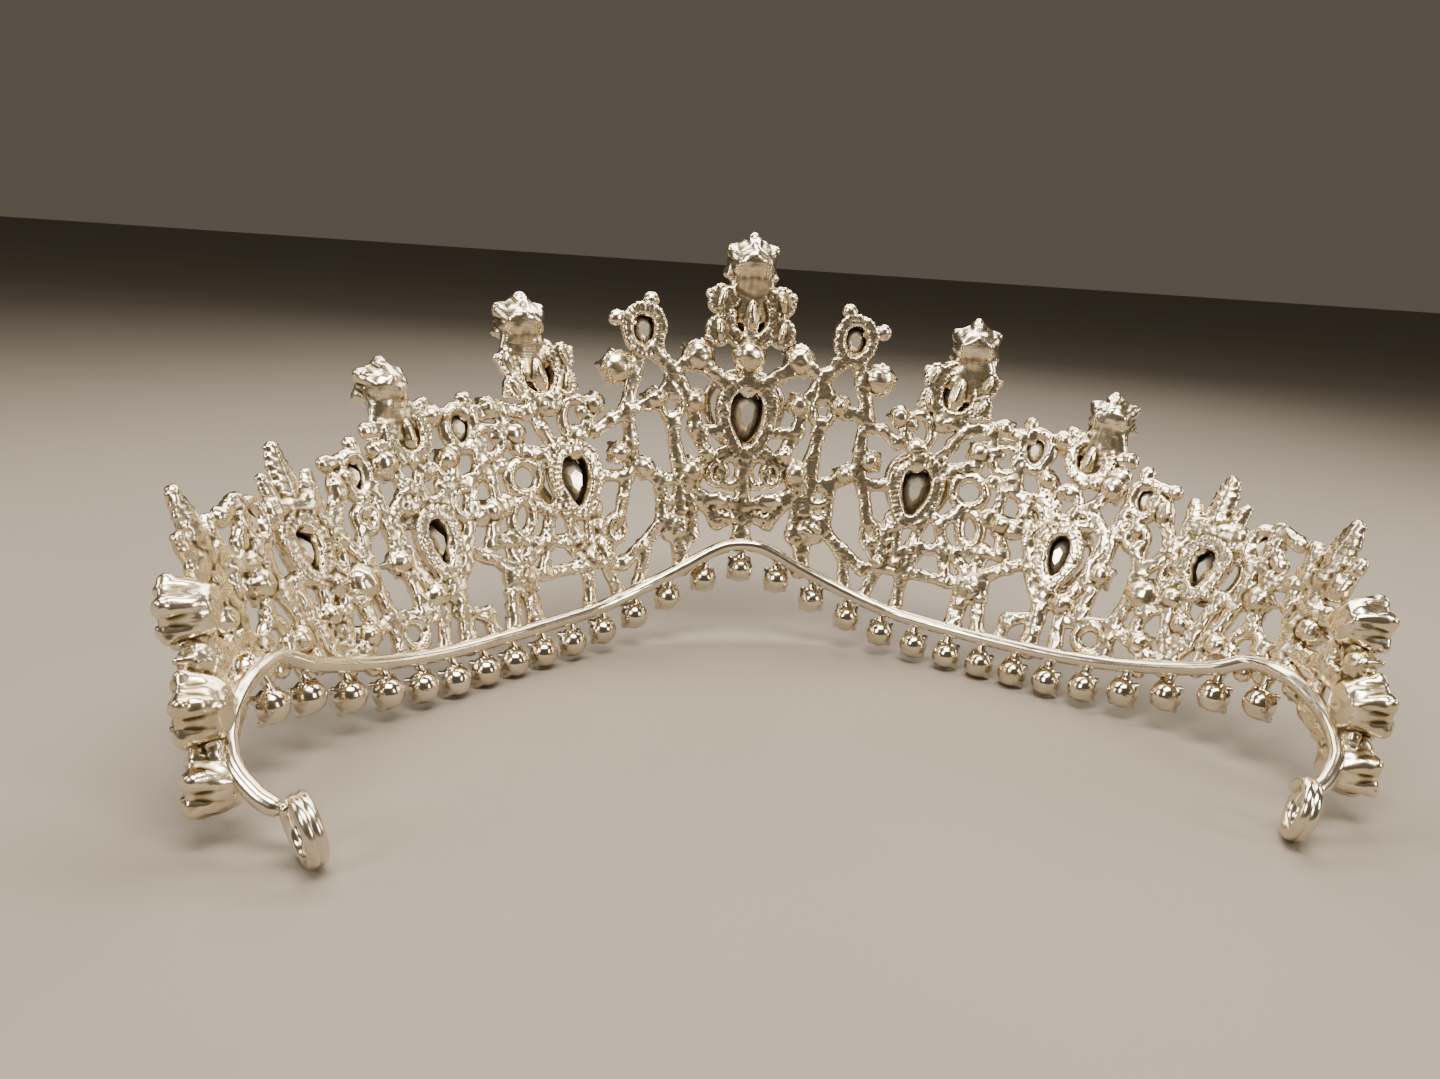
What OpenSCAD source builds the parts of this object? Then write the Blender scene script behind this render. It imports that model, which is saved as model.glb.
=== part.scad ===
// Openwork tiara: a wire base with a raised peak, cast motifs standing on it,
// claw-set stones, a hem row of small stones, and an eyelet at each end.
// Front faces -Y, up is +Z, the wearer's left is +X. Millimetres.

/* [Overall] */
// Overall enlargement of the whole tiara
size_factor = 1; // [0.9:0.01:1.1]
// Extra outward lean of the motif wall
lean_factor = 1; // [0.7:0.05:1.3]

/* [Base wire] */
// Diameter of the base wire
wire_d = 2; // [1.4:0.1:2.6]
// Height of the base wire at the centre peak
peak_h = 16.7; // [13:0.1:19]
// How far the base wire sits inside the casting wall
wire_inset = 1.8; // [1.2:0.1:2.4]
// Sides of the wire cross-section
wire_sides = 10; // [8:1:14]

/* [End eyelets] */
// Inner radius of each eyelet
eye_r = 2.5; // [2:0.1:3]
// Radial thickness of each eyelet
eye_wall = 1.6; // [1.2:0.1:2]
// Width of each eyelet, two turns of wire side by side
eye_w = 3.2; // [2.6:0.1:3.8]

/* [Hem row] */
// Spacing of the hem stones along the wall
hem_pitch = 6.6; // [6:0.1:8]
// Hem stones on each side of the centre one
hem_count = 14; // [8:1:14]
// Outer diameter of a hem cup
hem_d = 4; // [3.2:0.1:4.6]
// Drop from the wire centre to the hem cup centre
hem_drop = 4.5; // [3.8:0.1:4.5]

/* [Castings] */
// Thickness of the openwork castings
cast_t = 1.7; // [1.2:0.1:2.4]
// Forward step from a casting to its front halo
halo_step = 2.6; // [2:0.1:3.4]
// Thickness of a front halo
halo_t = 1.2; // [0.8:0.1:1.8]
// Extra width given to every bar of the openwork
bar_extra = 0.6; // [0:0.05:0.8]
// Extra outer radius given to every ring
ring_extra = 0.3; // [0:0.05:0.5]
// Extra radius given to every small claw cup
cup_extra = 0.3; // [0:0.05:0.4]
// Upward lean of the large cups along the crest, degrees
crest_lean = 30; // [8:1:35]

/* [Stones] */
// Clearance between a stone and its cup wall
stone_gap = 0.05; // [0.02:0.01:0.12]
// Rows of corners around a faceted drop stone
drop_corners = 12; // [8:1:16]
// Fineness of round work
round_n = 20; // [16:4:32]

/* [Hidden] */
plan_y = 19.7;
mid_h = 23;
metal = [0.80, 0.78, 0.74];
metal2 = [0.74, 0.72, 0.68];
glass = [0.85, 0.88, 0.90, 0.8];

// ---- wall surface: distance s along the wall from the centre front, height h
function wall_r(a, h) = let (t = a * PI / 180)
  52.7 + 4.7 * pow(t, 2) + 4 * pow(t, 4) - 1.2 * pow(t, 6)
  + lean_factor * (h - mid_h) * (0.15 + 0.42 * pow(t, 2) - 0.14 * pow(t, 4));
function plan(a) = let (r = wall_r(a, mid_h)) [r * sin(a), r * cos(a)];
arc_table = [for (a = 0, s = 0; a <= 114; s = s + norm(plan(a + 2) - plan(a)), a = a + 2) [s, a]];
function turn(s) = sign(s) * lookup(abs(s), arc_table);
function wall(s, h, out = 0) = let (a = turn(s), r = wall_r(a, h) + out)
  [r * sin(a), plan_y - r * cos(a), h];
function unit(v) = v / norm(v);
function along(s, h) = unit(wall(s + 1, h) - wall(s - 1, h));
function rise(s, h) = let (t = along(s, h), u = wall(s, h + 1) - wall(s, h - 1)) unit(u - (u * t) * t);
function outward(s, h) = cross(along(s, h), rise(s, h));
module seat(s, h, out = 0) {
  t = along(s, h); u = rise(s, h); n = outward(s, h); p = wall(s, h) + n * out;
  multmatrix([[t[0], u[0], n[0], p[0]], [t[1], u[1], n[1], p[1]], [t[2], u[2], n[2], p[2]], [0, 0, 0, 1]]) children();
}
// flat position of wall point q seen from the seat at c
function flat(c, q) = let (d = wall(q[0], q[1]) - wall(c[0], c[1])) [d * along(c[0], c[1]), d * rise(c[0], c[1])];

// ---- flat outlines
function bar_pts(a, b, w) = let (g = atan2(b[1] - a[1], b[0] - a[0]))
  concat([for (k = [0:4]) b + w / 2 * [cos(g - 90 + 45 * k), sin(g - 90 + 45 * k)]],
         [for (k = [0:4]) a + w / 2 * [cos(g + 90 + 45 * k), sin(g + 90 + 45 * k)]]);
function egg_pts(c, rx, ry, tilt, tip, n) = [for (k = [0:n - 1]) let (t = -360 * k / n,
  x = rx * sin(t) * (1 + tip * cos(t)), y = ry * cos(t)) c + [x * cos(tilt) + y * sin(tilt), y * cos(tilt) - x * sin(tilt)]];
module bars(c, list) for (b = list)
  polygon(bar_pts(flat(c, [b[0], b[1]]), flat(c, [b[2], b[3]]), b[4] + bar_extra));
module rings(c, list) for (r = list) difference() {
  polygon(egg_pts(flat(c, [r[0], r[1]]), r[2] + ring_extra, r[3] + ring_extra, r[5], r[6], 18));
  polygon(egg_pts(flat(c, [r[0], r[1]]), r[2] - r[4], r[3] - r[4], r[5], r[6], 18));
}
module eggs(c, list) for (r = list) polygon(egg_pts(flat(c, [r[0], r[1]]), r[2], r[3], r[4], r[5], 14));
module openings(c, list) for (r = list)
  polygon(egg_pts(flat(c, [r[0], r[1]]), r[2] - r[4], r[3] - r[4], r[5], r[6], 18));
module plate(c, bar_list, ring_list, egg_list)
  seat(c[0], c[1]) translate([0, 0, -cast_t / 2]) linear_extrude(cast_t) difference() {
    union() { bars(c, bar_list); rings(c, ring_list); eggs(c, egg_list); }
    openings(c, ring_list);
  }

// ---- round claw cup on the wall, its mouth facing out, and the bowl that holds its stone
module cup(s, h, r) seat(s, h) translate([0, 0, -cast_t / 2]) cylinder(h = cast_t / 2 + 0.8 + r * 0.3, r1 = r * 0.72, r2 = r, $fn = round_n);
module bowl(s, h, r) seat(s, h) translate([0, 0, 0.2]) cylinder(h = r + 2, r = r * 0.78, $fn = round_n);
// round stone sitting in that cup
module stone(s, h, r) seat(s, h, 0.2) {
  g = r * 0.78 - stone_gap;
  rotate_extrude($fn = round_n) polygon([[0, 0.1], [g * 0.5, 0.1], [g, 0.8 + r * 0.3 - 0.1], [g, 0.8 + r * 0.3], [g * 0.6, 0.8 + r * 0.62], [0, 0.8 + r * 0.62]]);
}
module stones(list) for (q = list) stone(q[0], q[1], q[2] + cup_extra);
// faceted drop or oval stone with a table, a girdle and a cut back
module drop(s, h, rx, ry, tilt, tip, back, front) seat(s, h) {
  n = drop_corners;
  a = [for (p = egg_pts([0, 0], rx * 0.42, ry * 0.42, tilt, tip, n)) [p[0], p[1], back]];
  b = [for (p = egg_pts([0, 0], rx, ry, tilt, tip, n)) [p[0], p[1], 0.2 * back + 0.8 * front - 0.5]];
  d = [for (p = egg_pts([0, 0], rx, ry, tilt, tip, n)) [p[0], p[1], 0.2 * back + 0.8 * front - 0.2]];
  e = [for (p = egg_pts([0, 0], rx * 0.6, ry * 0.6, tilt, tip, n)) [p[0], p[1], front]];
  polyhedron(points = concat(a, b, d, e), faces = concat(
    [[for (k = [0:n - 1]) k]], [[for (k = [n - 1:-1:0]) 3 * n + k]],
    [for (j = [0:2], k = [0:n - 1]) [j * n + k, (j + 1) * n + k, (j + 1) * n + (k + 1) % n, j * n + (k + 1) % n]]), convexity = 2);
}
// large crest cup tipped forward on the top of a motif
module crest_frame(s, h, r) seat(s, h) rotate([abs(s) > 90 ? -8 : -crest_lean, 0, 0]) children();
module crest_cup(s, h, r) crest_frame(s, h, r) {
  translate([0, 0, -2.2]) cylinder(h = 3.4, r1 = r * 0.6, r2 = r, $fn = round_n);
  translate([0, 0, 1.1]) cylinder(h = 1.4, r = r, $fn = round_n);
  for (k = [0:5]) rotate([0, 0, 30 + 60 * k]) translate([r - 0.1, 0, -0.6]) cylinder(h = 3.8, r = 0.5, $fn = 13);
}
module crest_bowl(s, h, r) crest_frame(s, h, r) translate([0, 0, 0.2]) cylinder(h = 6, r = r * 0.84, $fn = round_n);
// openwork, small cups and crest cups of one motif, with every bowl cut out
module motif(c, bar_list, ring_list, egg_list, leaf_list, cup_list, crest_list) difference() {
  union() {
    plate(c, bar_list, ring_list, egg_list);
    leaves(c, leaf_list);
    for (q = cup_list) cup(q[0], q[1], q[2] + cup_extra);
    for (q = crest_list) crest_cup(q[0], q[1], q[2]);
  }
  for (q = cup_list) bowl(q[0], q[1], q[2] + cup_extra);
  for (q = crest_list) crest_bowl(q[0], q[1], q[2]);
}
module crest_stone(s, h, r) crest_frame(s, h, r) {
  g = r * 0.84 - stone_gap;
  rotate_extrude($fn = round_n) polygon([[0, 0.25], [g * 0.3, 0.25], [g, 2], [g, 2.4], [g * 0.6, 3.6], [0, 3.6]]);
}
// raised halo in front of a drop stone, on four posts
module halo(s, h, rx, ry, w, tilt, tip) seat(s, h) {
  difference() {
    translate([0, 0, halo_step]) linear_extrude(halo_t) polygon(egg_pts([0, 0], rx, ry, tilt, tip, 20));
    translate([0, 0, halo_step - 1]) linear_extrude(halo_t + 2) polygon(egg_pts([0, 0], rx - w, ry - w, tilt, tip, 20));
  }
  for (k = [0:3]) let (p = egg_pts([0, 0], rx - w / 2 - 0.9, ry - w / 2 - 0.9, tilt, tip, 8)[1 + 2 * k])
    translate([p[0], p[1], cast_t / 2 - 0.2]) cylinder(h = halo_step + 0.5 - cast_t / 2 + 0.2, r = 0.55, $fn = 13);
}
module both(left) if (left) children(); else mirror([1, 0, 0]) children();

// ---- base wire
wire_run = [[0, peak_h], [3, peak_h - 0.3], [6, peak_h - 1.4], [10, peak_h - 3.3], [15, peak_h - 5.3], [20, peak_h - 7],
  [25, 8.4], [30, 7.5], [40, 6.8], [50, 6.6], [60, 6.8], [70, 7.8], [80, 10], [86, 12]];
arm_run = [[64.2, 15.2, 14], [65.8, 20.7, 14.2], [66.7, 25.2, 12.8], [66.7, 29.2, 10.8], [65.4, 32.7, 8.6], [62.8, 35, 6.6], [60.8, 36, 5.6]];
wire_half = concat([for (q = wire_run) wall(q[0], q[1], -wire_inset - max(0, (q[0] - 70) * 0.05))], arm_run);
function knots(p) = concat([[-p[1][0], p[1][1], p[1][2]]], p, [2 * p[len(p) - 1] - p[len(p) - 2]]);
function glide(a, b, c, d, t) = 0.5 * ((2 * b) + (c - a) * t + (2 * a - 5 * b + 4 * c - d) * t * t + (3 * b - a - 3 * c + d) * t * t * t);
wire_k = knots(wire_half);
wire_fine = [for (i = [1:len(wire_half) - 1], j = [0:1]) glide(wire_k[i - 1], wire_k[i], wire_k[i + 1], wire_k[i + 2], j / 2)];
wire_side = concat(wire_fine, [wire_half[len(wire_half) - 1]]);
wire_path = concat([for (i = [len(wire_side) - 1:-1:1]) [-wire_side[i][0], wire_side[i][1], wire_side[i][2]]], wire_side);
function wire_dir(i) = let (m = len(wire_path)) unit(wire_path[min(i + 1, m - 1)] - wire_path[max(i - 1, 0)]);
module base_wire() {
  m = len(wire_path);
  n = wire_sides;
  pts = [for (i = [0:m - 1]) let (d = wire_dir(i), v = unit([0, 0, 1] - d[2] * d), w = cross(d, v))
    for (k = [0:n - 1]) wire_path[i] + wire_d / 2 * (cos(360 * k / n) * v + sin(360 * k / n) * w)];
  color(metal) polyhedron(points = pts, faces = concat([[for (k = [0:n - 1]) k]], [[for (k = [n - 1:-1:0]) (m - 1) * n + k]],
    [for (i = [0:m - 2], k = [0:n - 1]) [i * n + k, (i + 1) * n + k, (i + 1) * n + (k + 1) % n, i * n + (k + 1) % n]]), convexity = 10);
}

// ---- end eyelets: a two-turn coil closed into a ring
eye_at = [57.2, 38.4, 4.25];
module end_eyelet(left) color(metal) both(left) translate(eye_at) rotate([0, 0, 28]) rotate([0, 12, 0]) rotate([0, 90, 0])
  rotate_extrude($fn = 36) let (o = eye_r + eye_wall, z = eye_w / 2)
    polygon([[eye_r, -z + 0.45], [eye_r + 0.45, -z], [o - 0.45, -z], [o, -z + 0.45], [o, -0.35], [o - 0.35, 0], [o, 0.35],
      [o, z - 0.45], [o - 0.45, z], [eye_r + 0.45, z], [eye_r, z - 0.45]]);
module end_eyelet_left() end_eyelet(true);
module end_eyelet_right() end_eyelet(false);

// ---- hem row
hem_s = [for (k = [-hem_count:hem_count]) k * hem_pitch];
function wire_h(s) = lookup(abs(s), concat(wire_run, [[94, 13.6]]));
module hem_cups() color(metal2) for (s = hem_s) {
  seat(s, wire_h(s) - hem_drop, -0.6) difference() {
    union() {
      rotate_extrude($fn = round_n) polygon(concat([[0, -hem_d * 0.42]], [for (k = [1:4]) hem_d / 2 * [sin(22.5 * k), -0.84 * cos(22.5 * k)]], [[hem_d / 2, 1], [0, 1]]));
      translate([-0.6, hem_d / 2 - 0.5, -0.6]) cube([1.2, hem_drop - hem_d / 2 - wire_d / 2 + 0.8, 1.2]);
    }
    translate([0, 0, -0.2]) cylinder(h = 4, r = hem_d / 2 * 0.8, $fn = round_n);
  }
}
module hem_stones() color(glass) for (s = hem_s) seat(s, wire_h(s) - hem_drop, -0.6) {
  g = hem_d / 2 * 0.8 - stone_gap;
  rotate_extrude($fn = round_n) polygon([[0, -0.1], [g * 0.6, -0.1], [g, 0.6], [g, 0.9], [g * 0.6, 1.6], [0, 1.6]]);
}

// ---- centre motif
function two_sides(list, m) = concat(list, [for (q = list) [for (i = [0:len(q) - 1]) (i == 0 || (m && i == 2)) ? -q[i] : (!m && i == len(q) - 2 && len(q) > 4) ? -q[i] : q[i]]]);
cc = [0, 40];
centre_bars = concat([[0, 60.4, 0, 57, 6], [0, 50, 0, 43, 2.4], [0, 31.6, 0, 17.4, 1.9]], two_sides([
  [6.6, 45.6, 3, 43, 1.8], [9.2, 46.6, 12, 44.7, 1.6],
  [4, 35.2, 8.4, 35.4, 1.2], [8.4, 35.4, 9, 39.4, 1.4], [8.4, 35.4, 6, 31, 1.4], [9, 39.4, 12, 44.7, 1.5], [3, 31.8, 8.2, 29.4, 1.2],
  [0, 22.6, 4.6, 23.4, 1.8], [4.6, 23.4, 8.4, 25, 1.5], [8.4, 25, 8.8, 28.4, 1.4], [0, 21.4, 4.4, 20, 1.4], [4.4, 20, 7.6, 23.8, 1.4], [0, 19, 0.6, 16.6, 1.6]], true));
centre_rings = concat([[0, 54.2, 4.8, 5.5, 2, 0, 0], [0, 37.4, 4.6, 6.6, 1.7, 0, 0.25]], two_sides([[2.4, 28.6, 2, 2.7, 0.9, 0, 0], [4.6, 28.2, 1.6, 2, 0.8, 0, 0]], false));
centre_eggs = concat([[0, 48, 2.8, 3.2, 0, 0.3]], two_sides([[8, 47.3, 2.2, 2.2, 0, 0], [4.9, 56.6, 1.9, 2.3, 0, 0], [5.1, 51.6, 1.8, 2.3, 0, 0]], false));
centre_cups = two_sides([[8, 47.3, 2.3], [8.4, 40, 1.6], [8.8, 28.4, 2]], false);
module centre_casting() color(metal) motif(cc, centre_bars, centre_rings, centre_eggs, [], centre_cups, [[0, 62, 3.8]]);
module centre_halo() color(metal2) halo(0, 38.6, 7, 7, 1.2, 0, 0.15);
module centre_crest_stone() color(glass) crest_stone(0, 62, 3.8);
module centre_oval_stone() color(glass) drop(0, 54.2, 2.5, 3.3, 0, 0, -0.5, 3);
module centre_drop_stone() color(glass) drop(0, 38, 2.75, 4.6, 0, 0.25, -0.6, 4);
module centre_side_stones() color(glass) stones(centre_cups);

// ---- inner flank motif
ic = [16, 36];
inner_bars = [[15.4, 54.4, 15.2, 55.8, 1.3], [18.6, 52.6, 20.4, 52.8, 1.3], [15, 48, 12, 44.7, 1.7], [17.2, 47.8, 18.2, 44, 1.5],
  [18.2, 44, 19.4, 38.4, 1.5], [12, 44.7, 11.9, 41.4, 1.8], [18.2, 44.8, 20.6, 45, 1.5], [12.4, 42.6, 16, 39.2, 1.3],
  [16, 39.2, 19.4, 38.4, 1.3], [12.2, 37, 11.1, 30, 1.5], [11.1, 30, 10.8, 22, 1.6], [13.6, 27, 17.8, 29.4, 1.6],
  [14.5, 27, 14.2, 20, 1.2], [9.2, 24, 8.9, 18, 1.4], [8.9, 18, 10.6, 15.6, 1.5], [11.4, 19, 10.6, 12.6, 1.9],
  [13.6, 20.6, 17.5, 16.5, 1.4], [17.5, 16.5, 21.4, 13.8, 1.3], [17.5, 16.5, 18.6, 10.2, 1.2], [19.4, 38.4, 19, 33, 1.3],
  [19, 33, 19.8, 27.6, 1.3], [19, 31.4, 20.8, 31.5, 1.2], [19.8, 27.6, 24.4, 27.8, 1.2], [19.4, 37.4, 22, 36.8, 1.1],
  [22, 36.8, 24.8, 35, 1.1], [20, 27.6, 21.6, 21, 1.1], [22.4, 18, 24.4, 14.4, 1.2], [21.4, 13.8, 24.4, 14.2, 1.2], [9.2, 24, 11, 24, 1.2]];
inner_rings = [[16.4, 51, 3.2, 4, 1.3, 6, 0.15], [12.3, 39.3, 2, 2.7, 0.9, 0, 0], [12.7, 25.4, 2.2, 2.1, 0.9, 0, 0], [22.4, 19.4, 1.5, 2.3, 0.8, 0, 0]];
inner_eggs = [[11.8, 19.4, 2.8, 2.8, 0, 0], [24.4, 15.2, 1.1, 1.4, 0, 0]];
inner_cups = [[20.6, 45, 2.4], [15, 40.2, 1.4], [20.8, 31.5, 1.5], [16.8, 29, 1.4]];
module inner_casting(left) color(metal) both(left) motif(ic, inner_bars, inner_rings, inner_eggs, [], inner_cups, []);
module inner_casting_left() inner_casting(true);
module inner_casting_right() inner_casting(false);
module inner_stones(left) color(glass) both(left) { stones(inner_cups); drop(16.4, 51, 1.85, 2.65, 6, 0.15, -0.5, 2.4); }
module inner_stones_left() inner_stones(true);
module inner_stones_right() inner_stones(false);

// ---- second motif
sc = [31, 34];
second_bars = [[33.8, 50, 33.2, 47.4, 5], 
  [25, 39, 26.4, 38, 1.3], [27.8, 34.2, 28.2, 32.4, 2.2],
  [31.4, 32.8, 33.2, 35.6, 1.2], [33.2, 35.6, 34.8, 38, 1.2], [34.8, 38, 38.6, 38.5, 1.3], [33, 39.4, 34.8, 38, 1.6], [38.6, 38.5, 39.2, 35, 1.2],
  [39.2, 35, 37.4, 32.6, 1.2], [37.4, 32.6, 32.4, 31.4, 1.2], [38.6, 38.6, 43.2, 38, 1.3], [33, 30.8, 35, 30, 1.2],
  [24.8, 35, 25.8, 36, 1.1], [24.4, 27.8, 25, 27.8, 1.2], [25.6, 23, 24.8, 15, 1.2], [26.6, 22, 27.2, 15.4, 1.2],
  [30.6, 22.6, 29.4, 18.4, 1.2], [29.4, 18.4, 27.2, 15.4, 1.2], [31, 24.6, 33.6, 22.7, 1.2], [33.6, 22.7, 34.6, 19.4, 1.2],
  [34.6, 19.4, 37, 18, 1.3], [33.6, 22.7, 36.6, 25.4, 1.2], [24.4, 14.4, 29, 14.2, 1.2], [29, 14.2, 36.6, 13.8, 1.1],
  [28.4, 14, 28.4, 8.6, 1.3], [27.2, 15.4, 28.4, 14, 1.4], [28.8, 14.6, 31, 18.2, 1.1], [31, 18.2, 35, 18.6, 1.1], [35, 18.6, 36.6, 13.8, 1.1],
  [24.6, 14.4, 22.4, 9.2, 1.2], [40.2, 34.6, 39, 35, 1.2]];
second_rings = [[32.6, 43.8, 4.2, 4.9, 1.6, 14, 0], [27.7, 37, 2.6, 3.3, 1, 0, 0], [28.6, 27.4, 4, 5.9, 1.6, 6, 0.25],
  [41.6, 33.8, 2.5, 2.5, 0.9, 0, 0], [37.2, 28.2, 2.9, 2.9, 1, 0, 0], [38.6, 22.4, 2.1, 3.2, 1, -12, 0]];
second_eggs = [[31.6, 39.2, 2.4, 2, 0, 0], [28.7, 46.4, 1.4, 1.9, 0, 0], [28.5, 42.4, 1.3, 1.9, 0, 0], [36.8, 45.4, 1.4, 1.9, 0, 0], [36.4, 41.6, 1.4, 1.8, 0, 0]];
second_cups = [[24.6, 39.2, 1.5], [37.4, 34.8, 1.6], [40.4, 38.8, 1.4]];
module second_casting(left) color(metal) both(left) motif(sc, second_bars, second_rings, second_eggs, [], second_cups, [[33.9, 51.1, 3.5]]);
module second_casting_left() second_casting(true);
module second_casting_right() second_casting(false);
module second_halo(left) color(metal2) both(left) halo(28.8, 28.2, 5.6, 6.2, 1.1, 6, 0.2);
module second_halo_left() second_halo(true);
module second_halo_right() second_halo(false);
module second_crest_stone(left) color(glass) both(left) crest_stone(33.9, 51.1, 3.5);
module second_crest_stone_left() second_crest_stone(true);
module second_crest_stone_right() second_crest_stone(false);
module second_drop_stone(left) color(glass) both(left) drop(28.6, 27.4, 2.35, 4.1, 6, 0.25, -0.6, 3.8);
module second_drop_stone_left() second_drop_stone(true);
module second_drop_stone_right() second_drop_stone(false);
module second_stones(left) color(glass) both(left) { stones(second_cups); drop(32.6, 43.8, 2.3, 3, 14, 0, -0.5, 2.8); }
module second_stones_left() second_stones(true);
module second_stones_right() second_stones(false);

// ---- cluster motif between the second and third
lc = [44, 24];
cluster_bars = [[44.2, 39, 43.9, 40, 1.2], [47.4, 37.8, 49, 38, 1.3], [43.4, 34.2, 43, 31, 1.3], [43.8, 33.4, 44.2, 29.4, 1.2],
  [40.4, 30.4, 46, 28.3, 1.3], [46, 28.3, 50.4, 28.2, 1.3], [47, 33.4, 48.6, 29, 1.2], [46, 28, 50, 18, 1.3], [50, 18, 53.4, 13.4, 1.3],
  [42.4, 29.4, 42.2, 24.6, 1.1], [41, 24.6, 45.6, 23.4, 2], [42.2, 24.6, 44.6, 19.4, 1.2], [38.6, 19.2, 44.8, 19.4, 1.2],
  [37, 18.2, 39.4, 16, 1.4], [36.8, 13.8, 39, 13.6, 1.3], [42.6, 15.4, 46.4, 17.6, 1.2], [46.4, 17.6, 49.4, 19, 1.1], [41, 15.5, 41.4, 19.4, 1.6],
  [40, 12, 39.6, 6.8, 2], [43, 12, 44.2, 6.6, 1.5], [43, 38, 44, 38.2, 1.4]];
cluster_rings = [[45.4, 36, 2.9, 3.5, 1.2, 0, 0.12], [47.8, 25.4, 2, 2.5, 0.8, 0, 0]];
cluster_eggs = [[41, 13.8, 3, 3, 0, 0]];
cluster_cups = [[49, 38, 1.4], [48.4, 31.8, 1.3], [43.4, 23.9, 1.5]];
module cluster_casting(left) color(metal) both(left) motif(lc, cluster_bars, cluster_rings, cluster_eggs, [], cluster_cups, []);
module cluster_casting_left() cluster_casting(true);
module cluster_casting_right() cluster_casting(false);
module cluster_stones(left) color(glass) both(left) { stones(cluster_cups); drop(45.4, 36, 1.65, 2.25, 0, 0.12, -0.5, 2.2); }
module cluster_stones_left() cluster_stones(true);
module cluster_stones_right() cluster_stones(false);

// ---- third motif
tc = [54.5, 25];
third_bars = [[54.2, 41, 53.8, 38.6, 4.4], [50.9, 38.2, 50, 39.4, 1.2], [56.2, 36.6, 58.7, 36.5, 1.3], [56.2, 34, 58.6, 34, 1.3],
  [55.6, 32.6, 57.8, 32, 1.6], [53, 32.4, 52.4, 30.8, 2], [50, 27.6, 51, 20, 1.2], [51, 20, 53.8, 13, 1.3], [56, 28.4, 60, 24.6, 1.2],
  [53.8, 27.2, 56, 28.4, 1.2], [56, 28.4, 57.8, 32, 1.3], [60, 24.6, 59.3, 18, 1.2], [59.3, 18, 57, 13.4, 1.3], [50.4, 26, 56.6, 25.8, 1.2], [53.8, 15.8, 54, 6.2, 1.8],
  [57.4, 13.6, 58.8, 6.8, 1.3], [50, 28.2, 50.4, 26, 1.2], [53.4, 13.4, 57, 13.4, 1.2], [59.8, 25, 61.4, 26.6, 1.2], [49, 9.6, 54, 11, 1.1], [48.8, 9.6, 48.4, 6.4, 1.3]];
third_rings = [[53.4, 35.8, 3.4, 4.1, 1.3, 8, 0], [52.1, 28.6, 2.3, 2.8, 0.9, 0, 0], [53.6, 20.6, 3.1, 5, 1.4, 4, 0.25]];
third_eggs = [[57.8, 32, 1.7, 1.9, 0, 0], [57, 13.8, 1.9, 1.9, 0, 0]];
third_cups = [[57.8, 32, 1.7], [57, 13.8, 1.6]];
module third_casting(left) color(metal) both(left) motif(tc, third_bars, third_rings, third_eggs, [], third_cups, [[54.3, 42, 3.2]]);
module third_casting_left() third_casting(true);
module third_casting_right() third_casting(false);
module third_halo(left) color(metal2) both(left) halo(54, 21, 4.6, 5.3, 1, 4, 0.2);
module third_halo_left() third_halo(true);
module third_halo_right() third_halo(false);
module third_crest_stone(left) color(glass) both(left) crest_stone(54.3, 42, 3.2);
module third_crest_stone_left() third_crest_stone(true);
module third_crest_stone_right() third_crest_stone(false);
module third_stones(left) color(glass) both(left) {
  stones(third_cups);
  drop(53.4, 35.8, 2, 2.7, 8, 0, -0.5, 2.4);
  drop(53.6, 20.6, 1.6, 3.4, 4, 0.25, -0.6, 3.4);
}
module third_stones_left() third_stones(true);
module third_stones_right() third_stones(false);

// ---- bridge motif between the third and fourth
bc = [64, 22];
bridge_bars = [[62, 33.6, 61.8, 35, 1.2], [64.6, 33, 66.4, 33, 1.2], [64.6, 31, 66.4, 30, 1.6], [63.2, 28, 63.6, 26.8, 1.5], [61.2, 29.4, 60.8, 25, 1.2],
  [60.8, 25, 61, 19.4, 1.3], [62.4, 25.6, 60.9, 25, 1.2], [65, 24.2, 66.6, 20.4, 1.3], [66.4, 30, 69.6, 25, 1.4], [66.6, 20.4, 68.2, 18, 1.5],
  [66.6, 20.4, 66.2, 12.4, 1.3], [58.6, 11.6, 66.2, 12.4, 1.2], [66.2, 12.4, 69.8, 11.4, 1.3], [66.4, 12.4, 67, 7.6, 1.3], [61, 19.4, 60.6, 12, 1.3], [69.6, 25, 66.6, 20.4, 1.2]];
bridge_rings = [[63, 31, 2.5, 3.3, 1.1, 0, 0.1], [64, 25.4, 1.8, 2, 0.8, 0, 0], [63.6, 9.8, 2.4, 2.4, 0.9, 0, 0]];
bridge_eggs = [[66.4, 29.8, 1.3, 2.2, 0, 0]];
bridge_cups = [[61, 19.2, 1.5], [68.3, 17.8, 2.3]];
module bridge_casting(left) color(metal) both(left) motif(bc, bridge_bars, bridge_rings, bridge_eggs, [], bridge_cups, []);
module bridge_casting_left() bridge_casting(true);
module bridge_casting_right() bridge_casting(false);
module bridge_stones(left) color(glass) both(left) { stones(bridge_cups); drop(63, 31, 1.35, 2.15, 0, 0.1, -0.5, 2.2); }
module bridge_stones_left() bridge_stones(true);
module bridge_stones_right() bridge_stones(false);

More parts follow.
